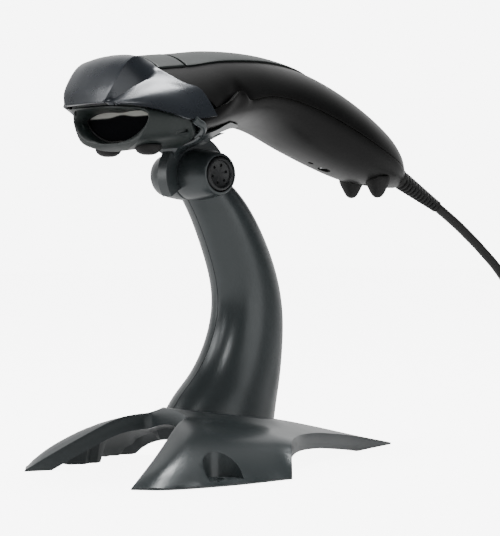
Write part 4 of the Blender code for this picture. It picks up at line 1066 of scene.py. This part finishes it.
def make_jaw():
    mouth, bezel, middle, rear = [closed_ring(half, 33) for half in (MOUTH, BEZEL, JAW_MIDDLE, JAW_REAR)]
    rings = [shrunk(mouth, 0.9, -51.4), shrunk(mouth, 0.5, -54.0)]
    for row in range(9):
        bulge = Vector((0.0, -0.7 * math.sin(math.pi * row / 8), 0.0))
        rings.append([Vector(a).lerp(Vector(b), row / 8) + bulge for a, b in zip(mouth, bezel)])
    tuck = [(x, spot[1] + 3.0, z) for (x, _, z), spot in zip(shrunk(rear, 1.6, 0.0), rear)]
    for first, second, rows in ((bezel, middle, 8), (middle, rear, 8), (rear, tuck, 3)):
        for row in range(1, rows + 1):
            rings.append([Vector(a).lerp(Vector(b), row / rows) for a, b in zip(first, second)])
    jaw = skin("jaw_cover", rings, capped=False, thickness=1.2)
    x, y, _ = CHIN_FOOT
    slots = [upright("pin_hole", side * x, y, 120.0, 133.0, 2.35, 32) for side in (-1, 1)]
    for side in (-1, 1):
        middle = Vector((side * 27.4, -42.6, 133.9))
        half = Vector((side * 0.6, 1.9, 0.75))
        slots.append(pipe("jaw_slot", [at(*(middle + half * t)) for t in (-1.0, 0.0, 1.0)], 0.95 * MM))
    combine(jaw, "DIFFERENCE", *slots)
    dress(settle(jaw, rim=0.25), "scanner", "green_grey", "jaw_bezel")

    def pane(name, step, low, high):
        outline = [(x, z) for x, _, z in shrunk(mouth, step, 0.0)]
        return plate(name, outline, WINDOW_Y + low, WINDOW_Y + high, axis=1)

    lens = pane("window_glass", -0.3, 0.0, PANE_WALL)
    dress(settle(lens, rim=0.1), "scanner", "window", "scan_window")
    lens.data.materials[0] = window_material()
    seal = pane("window_seal", -0.2, -1.0, -0.3)
    combine(seal, "DIFFERENCE", pane("opening", 1.3, -4.0, 4.0))
    dress(settle(seal, rim=0.15), "scanner", "rubber_black", "window_gasket")


def window_material():
    """Dark tinted glass with the pale reflector behind its upper part, notched in the middle."""
    material = material_of("window").copy()
    material.name = "window_glass"
    tree = material.node_tree
    place = {"Vector": node(tree, "TexCoord", "Object", {})}
    sideways = node(tree, "SeparateXYZ", "X", place)
    across = node(tree, "Math", "Value", {0: sideways}, operation="ABSOLUTE")
    notch = map_range(tree, across, 0.0, 9.0 * MM, 0.9 * MM, 0.0, "SMOOTHSTEP")
    height = node(tree, "SeparateXYZ", "Z", place)
    level = node(tree, "Math", "Value", {0: height, 1: notch}, operation="SUBTRACT")
    mask = map_range(tree, level, REFLECTOR_FOOT * MM, (REFLECTOR_FOOT + 0.7) * MM, 0.0, 1.0, "SMOOTHSTEP")
    tint = node(tree, "Mix", 2, {"Factor": mask, 6: GLASS_DARK, 7: GLASS_PALE}, data_type="RGBA")
    fill(tree, tree.nodes["Principled BSDF"], {
        "Base Color": tint, "Specular IOR Level": 0.0, "Coat Weight": 0.0})
    return material


def make_feet():
    chin = [(0.0, 4.6), (2.0, 4.6), (2.0, 4.0), (5.2, 4.0), (5.3, 3.4), (5.1, 2.4), (4.4, 1.3), (3.2, 0.5),
            (1.8, 0.1), (0.0, 0.0)]
    tail = [(0.0, 9.4), (5.4, 9.4), (5.6, 8.6), (5.5, 7.4), (5.0, 6.0), (4.1, 4.2), (3.2, 2.4), (2.3, 1.0),
            (1.2, 0.2), (0.0, 0.0)]
    for side, label in SIDES:
        bottom = section(TAIL_FEET[1], 270.0 + side * 26.0)[2]
        tail_foot = (*TAIL_FEET, bottom - 7.0)
        for end, profile, (x, y, z) in (("chin", chin, CHIN_FOOT), ("tail", tail, tail_foot)):
            pad = turned(f"{end}_pad_{label}", profile, (side * x, y, z), (0.0, 0.0, 1.0), steps=48)
            dress(settle(pad), "scanner", "rubber_black", f"{end}_foot_{label}")


# ---------------- cradle
SADDLE_REACH = 56.0             # degrees from straight down to the saddle's upper edges
SADDLE_REAR = [(0.0, 4.0), (20.0, 1.5), (36.0, -5.0), (48.0, -11.0), (SADDLE_REACH, -15.0)]
SADDLE_GAP = 0.4
SADDLE_WALL = 2.1
SADDLE_FRONT = (-27.4, 12.0, 1.4)       # place y at the middle, how far and how steeply it runs forward
HUB_R = 7.7
WEB_OUTLINE = [(-8.4, 122.8), (-10.4, 125.6), (-10.9, 128.2), (-9.6, 130.8), (-7.4, 132.9), (-4.5, 134.7),
               (-1.5, 136.0), (-8.0, 135.2), (-12.0, 133.9), (-20.0, 131.0), (-26.8, 129.0), (-28.0, 128.8),
               (-27.4, 127.3), (-26.5, 125.2), (-25.9, 123.2), (-25.5, 121.3), (-24.4, 120.2), (-22.4, 119.4)]


def web_half(y, z):
    """Half the web's thickness: flared at its front, and filleted into the saddle outside the barrel."""
    below = max(0.0, min(4.0, section(y, 270.0)[2] - SADDLE_GAP - SADDLE_WALL - z))
    flare = 1.5 * ease(z, 121.5, 129.0) * ease(-y, 15.0, 24.0) + 3.4 * (1 - below / 4.0) ** 2
    outside = ease(math.hypot(y - HINGE_Y, z - HINGE_Z), BARREL_R + 0.4, BARREL_R + 2.2)
    return WEB_HALF + flare * outside


def make_web():
    hub = arc(HINGE_Y, HINGE_Z, HUB_R, 186.0, 372.0, 33)
    outline = [Vector(spot) for spot in hub + WEB_OUTLINE]
    plan = []
    for first, second in zip(outline, outline[1:] + outline[:1]):
        pieces = max(1, round((second - first).length / 0.9))
        plan += [first.lerp(second, step / pieces) for step in range(pieces)]
    inner = [Vector((y, z)) for y in spread(-28.0, -1.0, 31) for z in spread(111.0, 136.0, 29)]
    inner = [spot for spot in inner if inside(spot, plan) and clearance(spot, plan) > 0.45]
    spots, faces = triangulated(plan, inner)
    halves = [web_half(*spot) - 0.45 * (clearance(spot, plan) < 0.3) for spot in spots]
    layers = [[at(side * half, *spot) for half, spot in zip(halves, spots)] for side in (1, -1)]
    return layered("web", faces, *layers)


def saddle_front(side):
    """Place y of the saddle's front edge; side runs from -1 to 1 across it."""
    middle, forward, power = SADDLE_FRONT
    return middle - forward * (SADDLE_REACH * abs(side) / 90.0) ** power


def make_saddle():
    outer, inner = [], []
    for u in spread(0.0, 1.0, 33):
        rows = ([], [])
        for side in spread(-1.0, 1.0, 81):
            rear = blend(SADDLE_REAR, SADDLE_REACH * abs(side))[0]
            y = saddle_front(side) + (rear - saddle_front(side)) * u
            wall = SADDLE_WALL * (1 - 0.75 * ease(u, 0.35, 1.0)) * (1 - 0.4 * ease(abs(side), 0.6, 1.0))
            angle = -90.0 + SADDLE_REACH * side
            rows[0].append(section(y, angle, SADDLE_GAP + wall))
            rows[1].append(section(y, angle, SADDLE_GAP))
        outer.append(rows[0])
        inner.append(rows[1])
    bm = bmesh.new()
    grids = [[[bm.verts.new(at(*spot)) for spot in row] for row in grid] for grid in (outer, inner)]
    rows, columns = len(outer), len(outer[0])
    for grid in grids:
        for near, far in zip(grid, grid[1:]):
            bridge(bm, near, far, closed=False)
    rim = [(0, column) for column in range(columns)]
    rim += [(row, columns - 1) for row in range(1, rows)]
    rim += [(rows - 1, column) for column in range(columns - 2, -1, -1)]
    rim += [(row, 0) for row in range(rows - 2, 0, -1)]
    for (a, b), (c, d) in zip(rim, rim[1:] + rim[:1]):
        bm.faces.new((grids[0][a][b], grids[0][c][d], grids[1][c][d], grids[1][a][b]))
    return settle(add_item("cradle_saddle", bm, outward=True), rim=0.3)


def make_cradle():
    saddle = make_saddle()
    line = []
    for side in spread(-1.0, 1.0, 61):
        line.append(at(*section(saddle_front(side), -90.0 + SADDLE_REACH * side, SADDLE_GAP + 1.1)))
    combine(saddle, "UNION", make_web(), pipe("rim_bead", line[1:-1], 0.9 * MM, sides=20))
    combine(saddle, "DIFFERENCE", on_hinge("bore", -9.0, 9.0, PIN_BORE_R, 36))
    dress(settle(saddle), "cradle", "stand_gunmetal", "cradle")


# ---------------- assembly
make_camera()
make_cord()
make_studio()
dress_cad_nodes()
make_base()
make_neck()
make_cradle()
make_shells()
make_inlay()
make_hood()
make_jaw()
make_feet()
